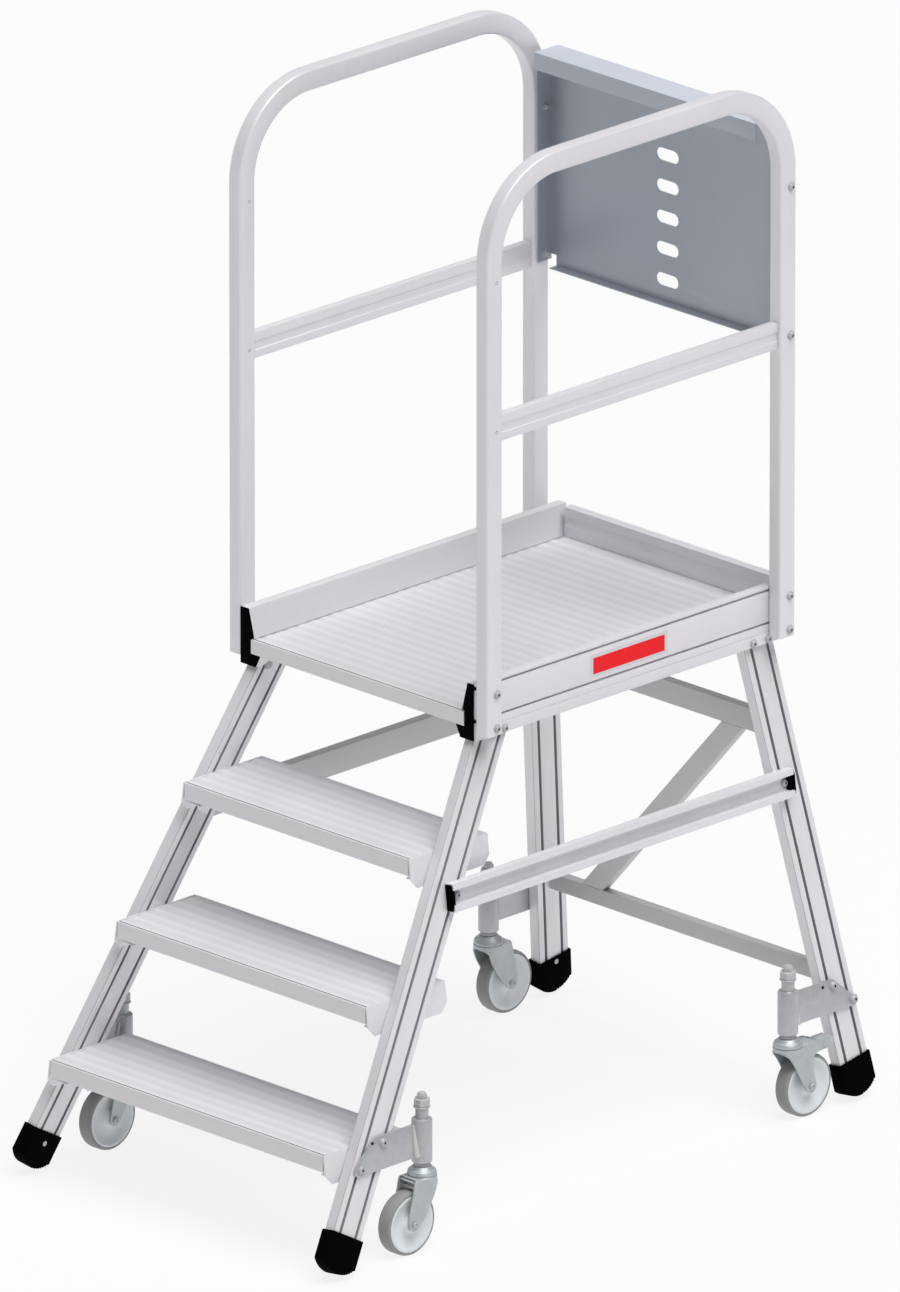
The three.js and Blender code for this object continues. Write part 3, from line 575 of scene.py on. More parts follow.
def ribbedPlank(nodeName, lip, webs, joints=()):
    low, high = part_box(nodeName)
    depth = (high.y - low.y) / mm
    outline = ribbedOutline(depth, lip, joints) + underside(lip, webs)
    bm = bmesh.new()
    points = [Vector((low.x, low.y + y * mm, high.z + z * mm)) for y, z in outline]
    extrudeFace(bm, points, Vector((high.x - low.x, 0, 0)))
    crest = low.y + (ribLook["grooveAt"] + 5.0) * mm
    ribbed = makeFinish(f"ribbed_{nodeName}", ribbedLook, (1, 0, 0), crest)
    finishes = [ribbed, grooveShade]
    name = f"{nodeName}_ribbed"
    piece = finishPiece(name, bm, finishes, "ladder", [nodeName], smooth=24)
    for face in piece.data.polygons:
        depthBelow = (high.z - face.center.z) / mm
        fromGroove = abs((face.center.y - low.y) / mm - ribLook["grooveAt"])
        if 0.5 < depthBelow < 2.9 and fromGroove < 1.6:
            face.material_index = 1  # walls and floor of the nosing's groove, in painted shade


for number in (1, 2, 3):
    ribbedPlank(f"tread_{number}", 32.0, [70, 136])
plankWidth = deckLength / 4
deckJoints = [plankWidth * i for i in (1, 2, 3)]
deckWebs = [plankWidth * (i + 0.66) for i in range(4)] + [y + e for y in deckJoints for e in (-2.4, 2.4)]
ribbedPlank("platform_deck", 27.3, deckWebs, deckJoints)
print("ladder: treads and platform")


# tread brackets

bracketLook = {"edge": 0.6, "nutRadius": 5.5}
for number in (1, 2, 3):
    for side, sign in sideSigns.items():
        nodeName = f"tread_bracket_{number}_{side}"
        refine(nodeName, lengthBars, bracketLook["edge"])
        low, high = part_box(nodeName)
        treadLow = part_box(f"tread_{number}")[0]
        shelfX = (abs(low.x) if sign > 0 else abs(high.x)) / mm + 12
        nuts = []
        for back in (45, 155):
            centre = Vector((sign * shelfX * mm, treadLow.y + back * mm, treadLow.z - 8.4 * mm))
            nuts.append((centre, (0, 0, -1)))
        nutSet(f"tread_nuts_{number}_{side}", "ladder", nuts, bracketLook["nutRadius"], 4.0)
print("ladder: tread brackets")


# side rails, toe board, knee rails

railLook = {"edge": 0.5, "screwDrop": 43.0, "screwAt": (77.0, 715.0, 753.0), "outer": 301.0}
railCapLook = {"outer": {"left": 301.0, "right": 296.0}, "thick": 2.7, "tabAt": (50.0, -13.0), "tabHalf": 2.6}
capOutline = [(281, 57), (267.5, 3), (273.3, 3), (273.3, -27.6), (251.6, -27.6), (263.2, -51)]


def railCap(side, sign):
    # the left cap covers the rail's whole end, the right one stops at its outer skin
    outer = railCapLook["outer"][side]
    cap = bmesh.new()
    outline = [(outer, -51.0), (outer, 57.0)] + capOutline
    thick = Vector((0, railCapLook["thick"] * mm, 0))
    extrudeFace(cap, [at(sign * x, 1.0, z) for x, z in outline], thick)
    roundEdges(cap, 0.4)
    name = f"side_rail_cap_{side}"
    finishPiece(f"{name}_moulded", cap, capPlastic, "ladder", [name])


def railTabs():
    # two small black tabs that reach from the right cap to the rail's outer face
    look = railCapLook
    inner = look["outer"]["right"] + 0.2
    outer = look["outer"]["left"] + 0.2
    tabs = bmesh.new()
    for z in look["tabAt"]:
        low, high = z - look["tabHalf"], z + look["tabHalf"]
        outline = [(inner, low), (outer, low), (outer, high), (inner, high)]
        points = [at(x, 1.0, height) for x, height in outline]
        extrudeFace(tabs, points, Vector((0, look["thick"] * mm, 0)))
    roundEdges(tabs, 0.5)
    finishPiece("side_rail_tabs", tabs, capPlastic, "ladder")


for side, sign in sideSigns.items():
    refine(f"side_rail_{side}", lengthBars, railLook["edge"])
    railCap(side, sign)
    refine(f"knee_rail_{side}", lengthBars, railLook["edge"])
    if side == "right":
        railTabs()
    screws = []
    for y in railLook["screwAt"]:
        screws.append((at(sign * railLook["outer"], y, -railLook["screwDrop"]), (sign, 0, 0)))
    screwSet(f"rail_screws_{side}", "ladder", screws)
    nuts = [(onSide(sign, -legThick, y, 52.0), -sideNormal(sign)) for y in (36.0, 76.0)]
    nuts += [(onSide(sign, -legThick, y, 48.0), -sideNormal(sign)) for y in (715.0, 753.0)]
    nutSet(f"leg_nuts_{side}", "ladder", nuts, 7.5, 5.0)
refine("rear_toe_board", acrossBars, railLook["edge"])
print("ladder: rails and boards")


# handrails

handrailLook = {
    "width": 30.0,
    "depth": 40.0,
    "wall": 2.0,
    "corner": 5.0,
    "bend": 160.0,
    "bendSteps": 28,
    "screwLow": -24.0,
    "screwHigh": 41.0,
    "hole": 2.6,
    "panelBolts": (542.0, 827.0),
}


def roundedBox(width, height, radius, steps=4):
    points = []
    centres = [(1, 1, 0), (-1, 1, 90), (-1, -1, 180), (1, -1, 270)]
    for sx, sy, start in centres:
        for i in range(steps + 1):
            angle = math.radians(start + 90 * i / steps)
            x = sx * (width / 2 - radius) + radius * math.cos(angle)
            y = sy * (height / 2 - radius) + radius * math.sin(angle)
            points.append((x, y))
    return points


def handrailStations(frontY, rearY, bottom, top):
    # centre line points with the section's inward direction, in y and z
    look = handrailLook
    bend = look["bend"]
    stations = [((frontY, bottom), 0.0)]
    for share in (0.25, 0.5, 0.75):
        stations.append(((frontY, bottom + (top - bend - bottom) * share), 0.0))
    for i in range(look["bendSteps"] + 1):
        turn = math.pi / 2 * i / look["bendSteps"]
        centre = (frontY + bend - bend * math.cos(turn), top - bend + bend * math.sin(turn))
        stations.append((centre, turn))
    for i in range(look["bendSteps"] + 1):
        turn = math.pi / 2 * i / look["bendSteps"]
        centre = (rearY - bend + bend * math.sin(turn), top - bend + bend * math.cos(turn))
        stations.append((centre, math.pi / 2 + turn))
    stations.append(((rearY, bottom), math.pi))
    return stations


def handrail(side, sign):
    look = handrailLook
    low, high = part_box(f"handrail_{side}")
    middleX = (low.x + high.x) / 2
    depth = look["depth"] / 2
    frontY = (low.y - deckLow.y) / mm + depth
    rearY = (high.y - deckLow.y) / mm - depth
    bottom = (low.z - deckHigh.z) / mm
    top = (high.z - deckHigh.z) / mm - depth
    bm = bmesh.new()
    skins = []
    stations = handrailStations(frontY, rearY, bottom, top)
    for inset in (0.0, look["wall"]):
        corner = max(1.0, look["corner"] - inset)
        section = roundedBox(look["width"] - 2 * inset, look["depth"] - 2 * inset, corner)
        rings = []
        for (y, z), turn in stations:
            ring = []
            for across, inward in section:
                py = y + inward * math.cos(turn)
                pz = z - inward * math.sin(turn)
                point = at(0, py, pz)
                point.x = middleX + across * mm
                ring.append(bm.verts.new(point))
            rings.append(ring)
        joinRings(bm, rings, capped=False)
        skins.append(rings)
    for end in (0, -1):
        joinRings(bm, [skins[0][end], skins[1][end]], capped=False)
    name = f"handrail_{side}"
    finishPiece(f"{name}_tube", bm, uprightBars, "ladder", [name], smooth=25)
    face = high.x if sign > 0 else low.x
    screws = []
    for y in (frontY + 5.5, rearY + 5.5):
        for z in (look["screwLow"], look["screwHigh"]):
            point = at(0, y, z)
            point.x = face
            screws.append((point, (sign, 0, 0)))
    for z in look["panelBolts"]:
        point = at(0, rearY + 6.0, z)
        point.x = face
        screws.append((point, (sign, 0, 0)))
    screwSet(f"post_screws_{side}", "ladder", screws)
    # dark cups in the post's sides at the panel bolts: painted shade inside the holes
    holes = bmesh.new()
    for z in look["panelBolts"]:
        for direction in (-1, 1):
            point = at(0, frontY + 4.5, z)
            point.x = middleX + direction * (look["width"] / 2) * mm
            r = look["hole"]
            cup = [(r + 0.5, 0.0), (r + 0.5, 0.15), (r, 0.15), (r - 0.2, -0.8), (0, -1.2)]
            turnProfile(holes, cup, point, (direction, 0, 0), 20)
    finishPiece(f"post_holes_{side}", holes, socketShadow, "ladder")


for side, sign in sideSigns.items():
    handrail(side, sign)
print("ladder: handrails")


# back panel

panelSize = {"edge": 0.6, "sheet": 2.0, "boltY": 779.6, "flatArea": 0.0004}
panel = refine("back_panel", [panelSheet, panelTopPaintedLight], panelSize["edge"], 3)
panelLow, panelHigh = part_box("back_panel")
for face in panel.data.polygons:
    if face.normal.z > 0.7 and face.center.z > panelHigh.z - panelSize["sheet"] * mm:
        face.material_index = 1  # painted light: the folded top's upward faces are lighter than the sheet below
    if face.area > panelSize["flatArea"]:
        face.use_smooth = False  # flat sheet between the rounded folds
for side, sign in sideSigns.items():
    inside = (panelHigh.x if sign > 0 else -panelLow.x) / mm - panelSize["sheet"]
    boltHeights = handrailLook["panelBolts"]
    nuts = [(at(sign * inside, panelSize["boltY"], z), (-sign, 0, 0)) for z in boltHeights]
    nutSet(f"panel_nuts_{side}", "ladder", nuts, 5.5, 3.6)
print("ladder: back panel")


# braces and cross members

braceLook = {"edge": 0.5, "top": 294.5, "capThick": 3.0, "capGap": 0.2, "capCorner": 0.6, "barEdge": 1.0}
for side, sign in sideSigns.items():
    name = f"side_brace_{side}"
    # the left brace takes the darker painted shade finish, the right one the plain finish
    refine(name, lengthBars if side == "right" else shadedBars, braceLook["edge"])
    low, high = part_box(name)
    top = braceLook["top"]
    frontY = (low.y - deckLow.y) / mm
    rearY = (high.y - deckLow.y) / mm
    caps = bmesh.new()
    for y0 in (frontY - braceLook["capThick"] - braceLook["capGap"], rearY + braceLook["capGap"]):
        outline = [(0.4, top + 2.0), (15.0, top + 2.0), (18.0, top + 12.5)]
        outline += [(18.0, top + 40.5), (15.0, top + 51.0), (0.4, top + 51.0)]
        points = [onSide(sign, out, y0, down) for out, down in outline]
        extrudeFace(caps, points, Vector((0, braceLook["capThick"] * mm, 0)))
    roundEdges(caps, braceLook["capCorner"])
    # the plug of each cap, inside the channel
    for y0, y1 in ((frontY, frontY + 7.0), (rearY - 7.0, rearY)):
        outline = [(3.2, top + 13.0), (14.0, top + 13.0), (14.0, top + 40.0), (3.2, top + 40.0)]
        points = [onSide(sign, out, y0, down) for out, down in outline]
        extrudeFace(caps, points, Vector((0, (y1 - y0) * mm, 0)))
    finishPiece(f"brace_caps_{side}", caps, capPlastic, "ladder")
    screws = []
    for y in (frontY + 22.0, rearY - 12.0):
        screws.append((onSide(sign, 2.8, y, top + 27.0), sideNormal(sign)))
    screwSet(f"brace_screws_{side}", "ladder", screws)
# the cross members and the diagonal take the darker painted shade finish
for name in ("upper_cross_member", "lower_cross_member", "rear_diagonal"):
    refine(name, paintedShadeCrossBars, braceLook["barEdge"], 3)
print("ladder: braces")


# castors

castorX = 385.5
stemY = {"front": -218.5, "rear": 721.5}
trailSign = {"front": -1, "rear": 1}
wheelCentre = {"trail": 40.0, "height": 60.0}
braked = ("front_left", "rear_right")
castorLook = {
    "tube": 19.0,
    "tubeLow": 168.0,
    "tubeHigh": 251.3,
    "sleeve": 12.0,
    "sleeveHigh": 271.6,
    "bore": 16.0,
    "stemHole": 7.6,
    "plateThick": 6.0,
    "plateEdge": 0.7,
    "plateDrop": 703.5,
    "weld": 4.2,
    "weldFrom": 704.5,
    "weldTo": 763.5,
}
plateBolts = {
    "front": {"screws": [(159.5, 753.0), (98.5, 717.0)], "hole": (124.5, 712.0)},
    "rear": {"screws": [(117.5, 716.0), (166.5, 753.0)], "hole": (91.5, 713.0)},
}
plateOutline = [(0, 0), (-118, 0), (-122, 2.5), (-166, 42), (-172, 48), (-174, 55), (-170.5, 60)]
plateOutline += [(-164, 61.5), (0, 61.5)]


def floorPoint(x, y, height):
    # height above the floor, y from the platform's front edge
    point = at(x, y, 0)
    point.z = height * mm
    return point


def castorBracket(place, side, sign):
    look = castorLook
    name = f"{place}_castor_bracket_{side}"
    trail = trailSign[place]
    x = sign * castorX
    y = stemY[place]
    top = look["plateDrop"] / math.cos(splay)
    plate = bmesh.new()
    outline = [(y - trail * a, top + d) for a, d in plateOutline]
    points = [onSide(sign, 0.3, py, down) for py, down in outline]
    extrudeFace(plate, points, sideNormal(sign) * look["plateThick"] * mm)
    bmesh.ops.recalc_face_normals(plate, faces=plate.faces)
    roundEdges(plate, look["plateEdge"])
    base = floorPoint(x, y, 0)
    bore, tube, sleeve = look["bore"], look["tube"], look["sleeve"]
    low, high, sleeveHigh = look["tubeLow"], look["tubeHigh"], look["sleeveHigh"]
    outer = [(bore, low), (tube - 1, low), (tube, low + 1)]
    outer += [(tube, high - 3), (tube - 0.8, high - 1), (tube - 2.6, high)]
    outer += [(sleeve + 0.6, high), (sleeve, high + 0.8)]
    outer += [(sleeve, sleeveHigh - 1), (sleeve - 1, sleeveHigh), (look["stemHole"], sleeveHigh)]
    outer += [(look["stemHole"], high - 6), (bore, high - 6), (bore, low)]
    turnProfile(plate, outer, base, (0, 0, 1), 48)
    finishPiece(f"{name}_welded", plate, castorPlateZinc, "ladder", [name])
    weldBead(place, side, sign)
    bolts = plateBolts[place]
    plateFace = 0.3 + look["plateThick"]
    screws = []
    for along, drop in bolts["screws"]:
        head = onSide(sign, plateFace, y + trail * along, drop / math.cos(splay))
        screws.append((head, sideNormal(sign)))
    screwSet(f"castor_plate_screws_{place}_{side}", "ladder", screws, 1.15)
    # a dark disc on the plate's face: painted shade for the plain hole
    hole = bmesh.new()
    along, drop = bolts["hole"]
    centre = onSide(sign, plateFace, y + trail * along, drop / math.cos(splay))
    cup = [(0, -0.5), (3.3, -0.5), (3.3, 0.08), (3.0, 0.16), (0, 0.16)]
    turnProfile(hole, cup, centre, sideNormal(sign), 20)
    finishPiece(f"castor_plate_hole_{place}_{side}", hole, socketShadow, "ladder")


def weldBead(place, side, sign):
    # a lumpy fillet down both faces of the plate, where it meets the tube
    look = castorLook
    trail = trailSign[place]
    bm = bmesh.new()
    for face in (0, 1):
        rings = []
        steps = 26
        for i in range(steps + 1):
            down = look["weldFrom"] + (look["weldTo"] - look["weldFrom"]) * i / steps
            slope = down / math.cos(splay)
            out = 0.3 if face == 0 else 0.3 + look["plateThick"]
            probe = onSide(sign, out, 0, slope)
            offset = (abs(probe.x) / mm - castorX)
            reach = math.sqrt(max(4.0, look["tube"] ** 2 - offset ** 2))
            share = i / steps if face else 0.3
            ripple = 0.12 * math.sin(i * 2.4) + random.uniform(-0.04, 0.04)
            lump = look["weld"] * (0.55 + 1.2 * share + ripple)
            centre = onSide(sign, out, stemY[place] + trail * (reach + 0.3), slope)
            rings.append(ringAround(bm, centre, Vector((0, trail, 0)), sideNormal(sign), lump, 10))
        joinRings(bm, rings)
    finishPiece(f"castor_weld_{place}_{side}", bm, weldMetal, "ladder", smooth=60)


def castorStem(label, base):
    name = f"castor_stem_{label}"
    bm = bmesh.new()
    rod = [(0, 160.8), (14, 160.8), (15, 161.7), (15, 165), (14.2, 166), (14.2, 171)]
    rod += [(13.4, 172), (7, 172.4), (7, 286), (0, 286)]
    turnProfile(bm, rod, base, (0, 0, 1), 32)
    washer = [(7, 272.0), (15.2, 272.0), (15.6, 272.6), (15.6, 274.0), (15.0, 274.6), (7, 274.6), (7, 272.0)]
    turnProfile(bm, washer, base, (0, 0, 1), 32)
    prism(bm, 6, 15.5, base, (0, 0, 1), 274.8, 289.2, 1.6, 0.35)
    prism(bm, 6, 9.5, base, (0, 0, 1), 289.4, 297.6, 1.0, 0.8)
    tip = [(0, 297.0), (7.2, 297.0), (7.0, 299.6), (5.8, 300.4), (0, 300.5)]
    turnProfile(bm, tip, base, (0, 0, 1), 28)
    finishPiece(f"{name}_turned", bm, boltSteel, bodyOf[name], [name], smooth=35)


def curveValue(a, b, c, d, t):
    # between b and c on a smooth curve through all four
    bend = 2 * a - 5 * b + 4 * c - d
    twist = 3 * b - a - 3 * c + d
    return 0.5 * (2 * b + (c - a) * t + bend * t * t + twist * t ** 3)


def smoothCurve(points, steps):
    # even samples of a smooth curve through the points
    dense = []
    count = len(points) - 1
    for i in range(count):
        p0 = points[max(i - 1, 0)]
        p1, p2 = points[i], points[i + 1]
        p3 = points[min(i + 2, count)]
        for k in range(12):
            t = k / 12
            dense.append([curveValue(a, b, c, d, t) for a, b, c, d in zip(p0, p1, p2, p3)])
    dense.append(list(points[-1]))
    lengths = [0.0]
    for a, b in zip(dense, dense[1:]):
        lengths.append(lengths[-1] + math.dist(a, b))
    result = []
    index = 0
    for k in range(steps + 1):
        goal = lengths[-1] * k / steps
        while index < len(dense) - 2 and lengths[index + 1] < goal:
            index += 1
        span = lengths[index + 1] - lengths[index]
        t = (goal - lengths[index]) / span if span > 0 else 0
        result.append([a + (b - a) * t for a, b in zip(dense[index], dense[index + 1])])
    return result


# pressed fork: height of each row, then how far it reaches away from the trail and
# towards it, from the stem's middle
forkEnd = [(50.5, 33.4, 48.0), (48.6, 37.0, 44.6), (48.0, 39.8, 42.0)]
cheekRows = [(144.0, -28.0, 36.0), (140.0, -28.0, 38.0), (136.2, -28.0, 39.0), (135.2, -26.8, 39.4)]
cheekRows += [(133.4, -24.0, 39.8), (128.0, -19.2, 41.0), (120.0, -15.6, 42.8), (112.0, -12.6, 44.8)]
cheekRows += [(104.0, -8.6, 47.0), (94.0, -2.6, 49.8), (84.0, 3.8, 52.0), (74.0, 10.6, 53.6)]
cheekRows += [(66.0, 17.4, 53.8), (60.0, 23.6, 53.2), (54.0, 29.6, 51.0)] + forkEnd
brakedRows = [(144.0, -28.0, 55.0), (140.0, -28.0, 66.0), (136.2, -28.0, 76.0), (133.4, -24.0, 81.6)]
brakedRows += [(129.0, -18.8, 85.8), (125.6, -15.6, 83.4), (124.4, -14.6, 70.0), (123.0, -13.4, 55.0)]
brakedRows += [(119.5, -10.6, 48.0), (112.0, -5.2, 43.6), (104.0, -0.6, 43.0), (94.0, 4.8, 44.2)]
brakedRows += [(84.0, 10.2, 46.6), (74.0, 16.0, 49.4), (66.0, 21.0, 51.2), (60.0, 25.0, 52.0)]
brakedRows += [(54.0, 29.6, 50.6)] + forkEnd
forkShape = {
    "sheet": 2.6,
    "crown": 28.0,
    "cheek": 22.4,
    "across": 18,
    "steps": 56,
    "corner": 2.6,
    "topFrom": 20.0,
    "lipThick": 2.2,
    "lipDrop": 7.0,
    "webHeights": (123.5, 142.0),
}


def cheekSpread(y, z):
    # distance of the sheet from the fork's middle plane: round under the crown, flat below
    crown = forkShape["crown"]
    flat = forkShape["cheek"]
    wrap = math.sqrt(max(0.0, crown ** 2 - y ** 2)) if y < 0 else crown
    if y > 0:
        share = min(1.0, y / 26.0)
        wrap = crown + (flat - crown) * share * share * (3 - 2 * share)
    blend = min(1.0, max(0.0, (z - 119.0) / 18.0))
    blend = blend * blend * (3 - 2 * blend)
    return flat + (wrap - flat) * blend


def forkCheek(bm, rows, base, trail, sign):
    look = forkShape
    grid = []
    for z, far, near in smoothCurve(rows, look["steps"]):
        line = []
        rounding = max(0.0, look["corner"] - (rows[0][0] - z))
        inset = look["corner"] - math.sqrt(max(0.0, look["corner"] ** 2 - rounding ** 2))
        for k in range(look["across"] + 1):
            y = far + (near - far) * k / look["across"]
            x = max(0.0, cheekSpread(y, z) - inset)
            if y < 0:
                y = min(0.0, y + inset)
            line.append(bm.verts.new(base + Vector((sign * x, trail * y, z)) * mm))
        grid.append(line)
    faces = []
    for a, b in zip(grid, grid[1:]):
        for k in range(look["across"]):
            faces.append(bm.faces.new([a[k], a[k + 1], b[k + 1], b[k]]))
    bmesh.ops.recalc_face_normals(bm, faces=faces)
    if sign * faces[-1].normal.x < 0:
        bmesh.ops.reverse_faces(bm, faces=faces)
    bmesh.ops.solidify(bm, geom=faces, thickness=look["sheet"] * mm)


def forkTop(bm, base, trail, hasBrake):
    # the sheet between the cheeks: round in front, running on over the wheel
    look = forkShape
    path = [(look["topFrom"], 144.0), (36.0, 144.0)]
    if hasBrake:
        path = [(look["topFrom"], 144.0), (44.0, 144.0), (56.0, 142.2), (63.0, 139.6)]
    inset = look["corner"]
    radius = look["crown"] - inset
    outline = []
    for i in range(25):
        angle = math.pi * i / 24
        outline.append((radius * math.cos(angle), -radius * math.sin(angle)))
    half = look["cheek"] - inset + 1.2
    outline += [(-half, path[0][0]), (half, path[0][0])]
    points = [base + Vector((x, trail * y, path[0][1] - look["sheet"])) * mm for x, y in outline]
    extrudeFace(bm, points, Vector((0, 0, look["sheet"] * mm)))
    strip = [(y, z) for y, z in path] + [(y, z - look["sheet"]) for y, z in reversed(path)]
    points = [base + Vector((-half, trail * y, z)) * mm for y, z in strip]
    extrudeFace(bm, points, Vector((2 * half * mm, 0, 0)))
    # turned-down lip at the end of the top, and a web behind it
    endY, endZ = path[-1]
    lip = (endY - look["lipThick"], endZ - look["lipDrop"], endZ - 0.4)
    web = (look["topFrom"], *look["webHeights"])
    for y, low, high in (lip, web):
        corners = ((-half, low), (half, low), (half, high), (-half, high))
        points = [base + Vector((x, trail * y, z)) * mm for x, z in corners]
        extrudeFace(bm, points, Vector((0, trail * look["lipThick"] * mm, 0)))


def castorFork(place, label, base):
    trail = trailSign[place]
    name = f"castor_fork_{label}"
    hasBrake = label in braked
    bm = bmesh.new()
    for sign in (-1, 1):
        forkCheek(bm, brakedRows if hasBrake else cheekRows, base, trail, sign)
    forkTop(bm, base, trail, hasBrake)
    bmesh.ops.recalc_face_normals(bm, faces=bm.faces)
    roundEdges(bm, 0.5, 2, 50)
    # raceways: a ring and a dome on top of the sheet, and a cup under it
    ring = [(0, 144.2), (25.8, 144.2), (27.0, 145.0), (27.4, 146.6), (27.0, 148.8), (25.6, 150.4)]
    ring += [(0, 150.4)]
    turnProfile(bm, ring, base, (0, 0, 1), 56)
    dome = [(0, 160.4), (15.0, 160.4), (17.2, 159.8), (19.2, 157.8), (20.6, 155.2), (22.4, 153.8)]
    dome += [(24.2, 153.4), (25.6, 152.2), (26.2, 150.4), (25.8, 149.4), (0, 149.4)]
    turnProfile(bm, dome, base, (0, 0, 1), 56)
    lower = [(0, 135.2), (14, 135.2), (16, 136.2), (18.5, 139), (19.0, 142), (0, 142)]
    turnProfile(bm, lower, base, (0, 0, 1), 40)
    finishPiece(f"{name}_pressed", bm, forkZinc, bodyOf[name], [name], smooth=32)


def castorWheel(label, hub):
    name = f"castor_wheel_{label}"
    body = bodyOf[name]
    tyre = bmesh.new()
    half = [(49.5, -12.0), (50.0, -13.6), (52.6, -14.4), (55.6, -14.5)]
    half += [(57.8, -13.8), (59.3, -12.1), (60.0, -9.3)]
    ring = half + [(r, -x) for r, x in reversed(half)]
    turnProfile(tyre, ring + [half[0]], hub, (1, 0, 0), 96)
    finishPiece(f"{name}_tyre", tyre, tyreRubber, body, [name], smooth=28)
    rim = bmesh.new()
    # from the hub's bore out over the dished web to the rolled edge on the tyre's side
    profile = [(6, -16.4), (12.4, -16.4), (13.8, -15.6), (16.0, -11.4), (20.0, -8.8), (27.0, -8.0)]
    profile += [(34.0, -8.8), (40.0, -10.6), (44.0, -12.6), (47.0, -14.2), (49.6, -15.0), (52.0, -15.1)]
    profile += [(53.4, -14.6), (52.8, -14.0), (49.6, -12.0)]
    back = [(r, -x) for r, x in reversed(profile)]
    turnProfile(rim, profile + back + [profile[0]], hub, (1, 0, 0), 96)
    finishPiece(f"{name}_rim", rim, rimNylon, body, smooth=32)


def castorAxle(label, hub):
    name = f"castor_axle_{label}"
    body = bodyOf[name]
    bm = bmesh.new()
    rod = [(0, -24.6), (4.0, -24.6), (4.0, 24.6), (0, 24.6)]
    turnProfile(bm, rod, hub, (1, 0, 0), 24)
    for direction in (-1, 1):
        axis = (direction, 0, 0)
        head = [(4.0, 23.0), (5.8, 23.0), (6.2, 23.5), (6.0, 24.8), (4.9, 26.0), (3.2, 26.5)]
        head += [(2.6, 26.3), (2.2, 25.2), (0, 25.0)]
        turnProfile(bm, head, hub, axis, 32)
    finishPiece(f"{name}_bolt", bm, boltSteel, body, [name], smooth=35)


pedalLook = {"edge": 0.7, "pinY": 74.0, "pinZ": 131.0, "pinHead": 4.4}


def brakePedal(place, label, base):
    look = pedalLook
    name = f"brake_pedal_{label}"
    refine(name, forkZinc, look["edge"], 3)
    heads = bmesh.new()
    centre = base + Vector((0, trailSign[place] * look["pinY"], look["pinZ"])) * mm
    r = look["pinHead"]
    dome = [(0, 22.0), (r, 22.0), (r, 23.0), (r * 0.8, 23.9), (r * 0.4, 24.4), (0, 24.5)]
    for direction in (-1, 1):
        turnProfile(heads, dome, centre, (direction, 0, 0), 24)
    finishPiece(f"{name}_pin_heads", heads, boltSteel, bodyOf[name], smooth=40)


springLook = {
    "wire": 1.7,
    "coil": 11.5,
    "turns": 3.5,
    "low": 174.5,
    "high": 243.3,
    "fixedEnd": 245.0,
    "travel": 7.5,
}


def castorSpring(label, base):
    # a coil of wire round the stem, from its low end to its high end
    look = springLook
    name = f"castor_spring_{label}"
    bm = bmesh.new()
    rings = []
    steps = 96
    for i in range(steps + 1):
        share = i / steps
        angle = 2 * math.pi * look["turns"] * share
        outward = Vector((math.cos(angle), math.sin(angle), 0))
        height = look["low"] + (look["high"] - look["low"]) * share
        centre = base + outward * look["coil"] * mm + Vector((0, 0, height * mm))
        rings.append(ringAround(bm, centre, outward, Vector((0, 0, 1)), look["wire"], 8))
    joinRings(bm, rings)
    coil = finishPiece(f"{name}_coil", bm, springWire, "ladder", [name], smooth=60)
    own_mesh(coil)


for place in ("front", "rear"):
    for side, sign in sideSigns.items():
        label = f"{place}_{side}"
        base = floorPoint(sign * castorX, stemY[place], 0)
        hub = base + Vector((0, trailSign[place] * wheelCentre["trail"], wheelCentre["height"])) * mm
        castorBracket(place, side, sign)
        castorStem(label, base)
        castorFork(place, label, base)
        castorWheel(label, hub)
        castorAxle(label, hub)
        if label in braked:
            brakePedal(place, label, base)
        castorSpring(label, base)
print("ladder: castors")


# blank labels

labelSize = {"thick": 0.12, "face": 301.05, "lift": 0.14}
railLabel = {"low": (295, -4), "high": (494, 40)}
railMark = {"low": (303, 2), "high": (486, 33)}
legLabel = {"low": (20.5, 340), "high": (52.5, 520)}


def filmStrip(name, corners, normal, material):
    bm = bmesh.new()
    extrudeFace(bm, corners, normal * labelSize["thick"] * mm)
    finishPiece(name, bm, material, "ladder")


def fourCorners(area):
    (a0, b0), (a1, b1) = area["low"], area["high"]
    return [(a0, b0), (a1, b0), (a1, b1), (a0, b1)]


rightward = Vector((1, 0, 0))
face = labelSize["face"]
filmStrip("side_rail_label", [at(face, y, z) for y, z in fourCorners(railLabel)], rightward, labelFilm)
face += labelSize["lift"]
filmStrip("side_rail_label_mark", [at(face, y, z) for y, z in fourCorners(railMark)], rightward, labelMark)
strip = [legPoint("front", -1, -legThick - 0.05, a, d) for a, d in fourCorners(legLabel)]
filmStrip("leg_label", strip, -sideNormal(-1), labelFilm)
print("ladder: labels")


# floor, light and camera

floorLook = {"size": 800.0, "colour": 0.11, "glow": 0.85}
floorMesh = bpy.data.meshes.new("floor")
reach = floorLook["size"]
floorCorners = [(-reach, -reach, 0), (reach, -reach, 0), (reach, reach, 0), (-reach, reach, 0)]
floorMesh.from_pydata(floorCorners, [], [(0, 1, 2, 3)])
floor = bpy.data.objects.new("floor", floorMesh)
floor.location.z = -0.0005
bpy.context.scene.collection.objects.link(floor)
floorPaint = bpy.data.materials.new("floorPaint")
floorPaint.use_nodes = True
floorShader = floorPaint.node_tree.nodes["Principled BSDF"]
level = floorLook["colour"]
floorShader.inputs["Base Color"].default_value = (level, level, level, 1)
floorShader.inputs["Roughness"].default_value = 1.0
floorShader.inputs["Specular IOR Level"].default_value = 0.0
floorShader.inputs["Emission Color"].default_value = (1, 1, 1, 1)
floorShader.inputs["Emission Strength"].default_value = floorLook["glow"]
floorMesh.materials.append(floorPaint)

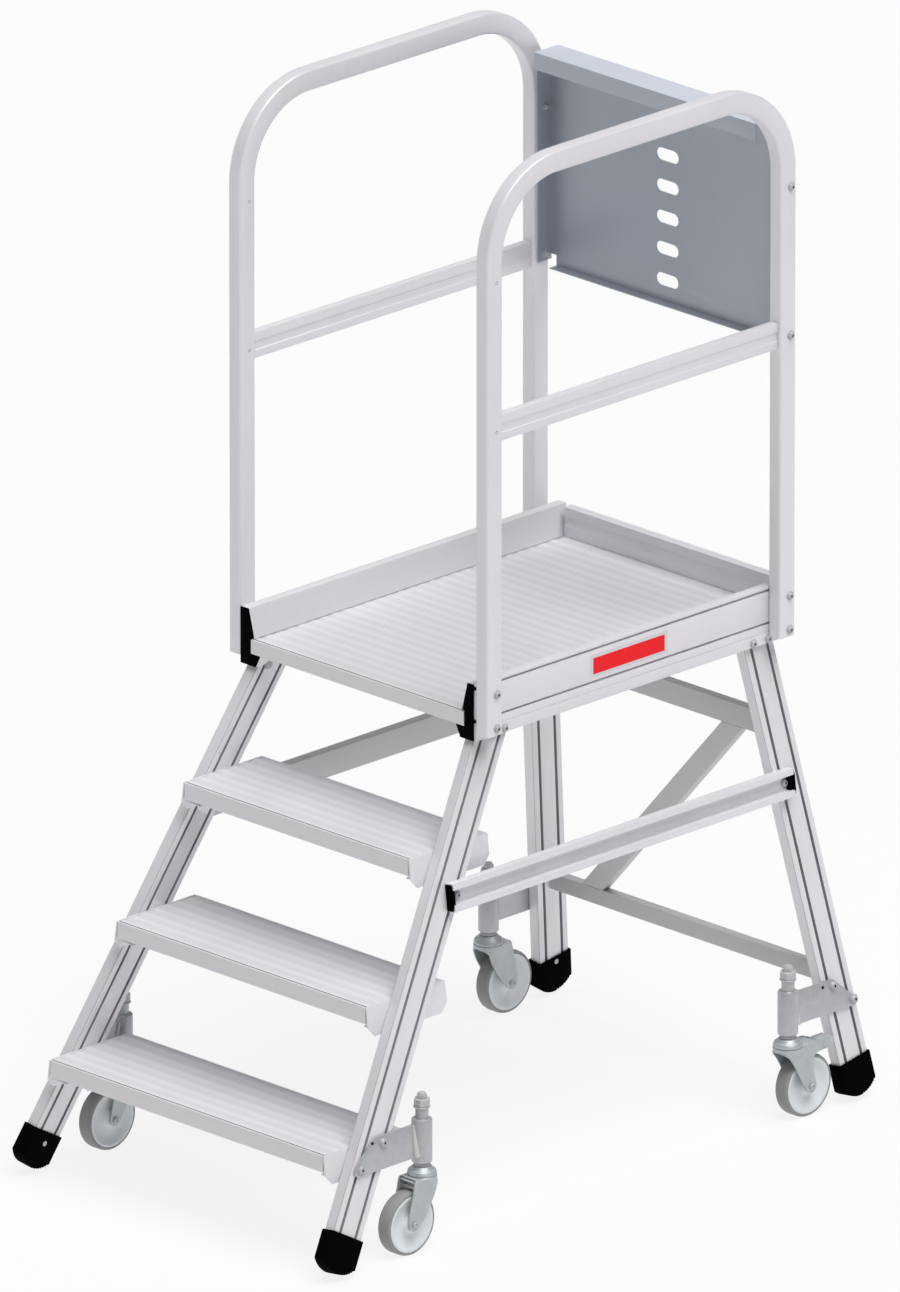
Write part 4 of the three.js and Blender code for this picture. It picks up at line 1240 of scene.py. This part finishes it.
lightLook = {
    "sky": 0.04,
    "backdrop": 0.97,
    "keySun": 3.15,
    "keyFrom": (0.38, -0.02, 0.925),
    "keySpread": 45.0,
    "fillSun": 0.9,
    "fillFrom": (-0.87, 0.0, 0.5),
    "fillSpread": 110.0,
}
world = bpy.data.worlds.new("studio")
bpy.context.scene.world = world
world.use_nodes = True
skyTree = world.node_tree
sky = skyTree.nodes["Background"]
sky.inputs["Color"].default_value = (1, 1, 1, 1)
sky.inputs["Strength"].default_value = lightLook["sky"]
# the view past the floor is as pale as the floor, and adds no light
backdrop = skyTree.nodes.new("ShaderNodeBackground")
backdrop.inputs["Color"].default_value = (1, 1, 1, 1)
backdrop.inputs["Strength"].default_value = lightLook["backdrop"]
seen = skyTree.nodes.new("ShaderNodeLightPath")
either = skyTree.nodes.new("ShaderNodeMixShader")
skyTree.links.new(seen.outputs["Is Camera Ray"], either.inputs["Fac"])
skyTree.links.new(sky.outputs["Background"], either.inputs[1])
skyTree.links.new(backdrop.outputs["Background"], either.inputs[2])
skyTree.links.new(either.outputs["Shader"], skyTree.nodes["World Output"].inputs["Surface"])
for name in ("key", "fill"):
    sunData = bpy.data.lights.new(f"{name}Sun", "SUN")
    sunData.energy = lightLook[f"{name}Sun"]
    sunData.angle = math.radians(lightLook[f"{name}Spread"])
    sun = bpy.data.objects.new(f"{name}Sun", sunData)
    sun.rotation_euler = Vector(lightLook[f"{name}From"]).to_track_quat("Z", "Y").to_euler()
    bpy.context.scene.collection.objects.link(sun)

cameraLook = {
    "azimuth": 45.08,
    "elevation": 19.725,
    "distance": 72.8,
    "lens": 1121.9,
    "right": 0.1682,
    "up": 0.0537,
}
az = math.radians(cameraLook["azimuth"])
el = math.radians(cameraLook["elevation"])
rightAxis = Vector((math.cos(az), math.sin(az), 0))
upAxis = Vector((-math.sin(az) * math.sin(el), math.cos(az) * math.sin(el), math.cos(el)))
backAxis = Vector((math.sin(az) * math.cos(el), -math.cos(az) * math.cos(el), math.sin(el)))
aim = at(0, 0, 0) + rightAxis * cameraLook["right"] + upAxis * cameraLook["up"]
cameraData = bpy.data.cameras.new("camera")
cameraData.lens = cameraLook["lens"]
cameraData.sensor_width = 36.0
cameraData.clip_start = 1.0
cameraData.clip_end = 2000.0
camera = bpy.data.objects.new("camera", cameraData)
turned = Matrix((rightAxis, upAxis, backAxis)).transposed().to_4x4()
camera.matrix_world = Matrix.Translation(aim + backAxis * cameraLook["distance"]) @ turned
bpy.context.scene.collection.objects.link(camera)
bpy.context.scene.camera = camera
bpy.context.scene.view_settings.view_transform = "Standard"

print("ladder: stage ready")
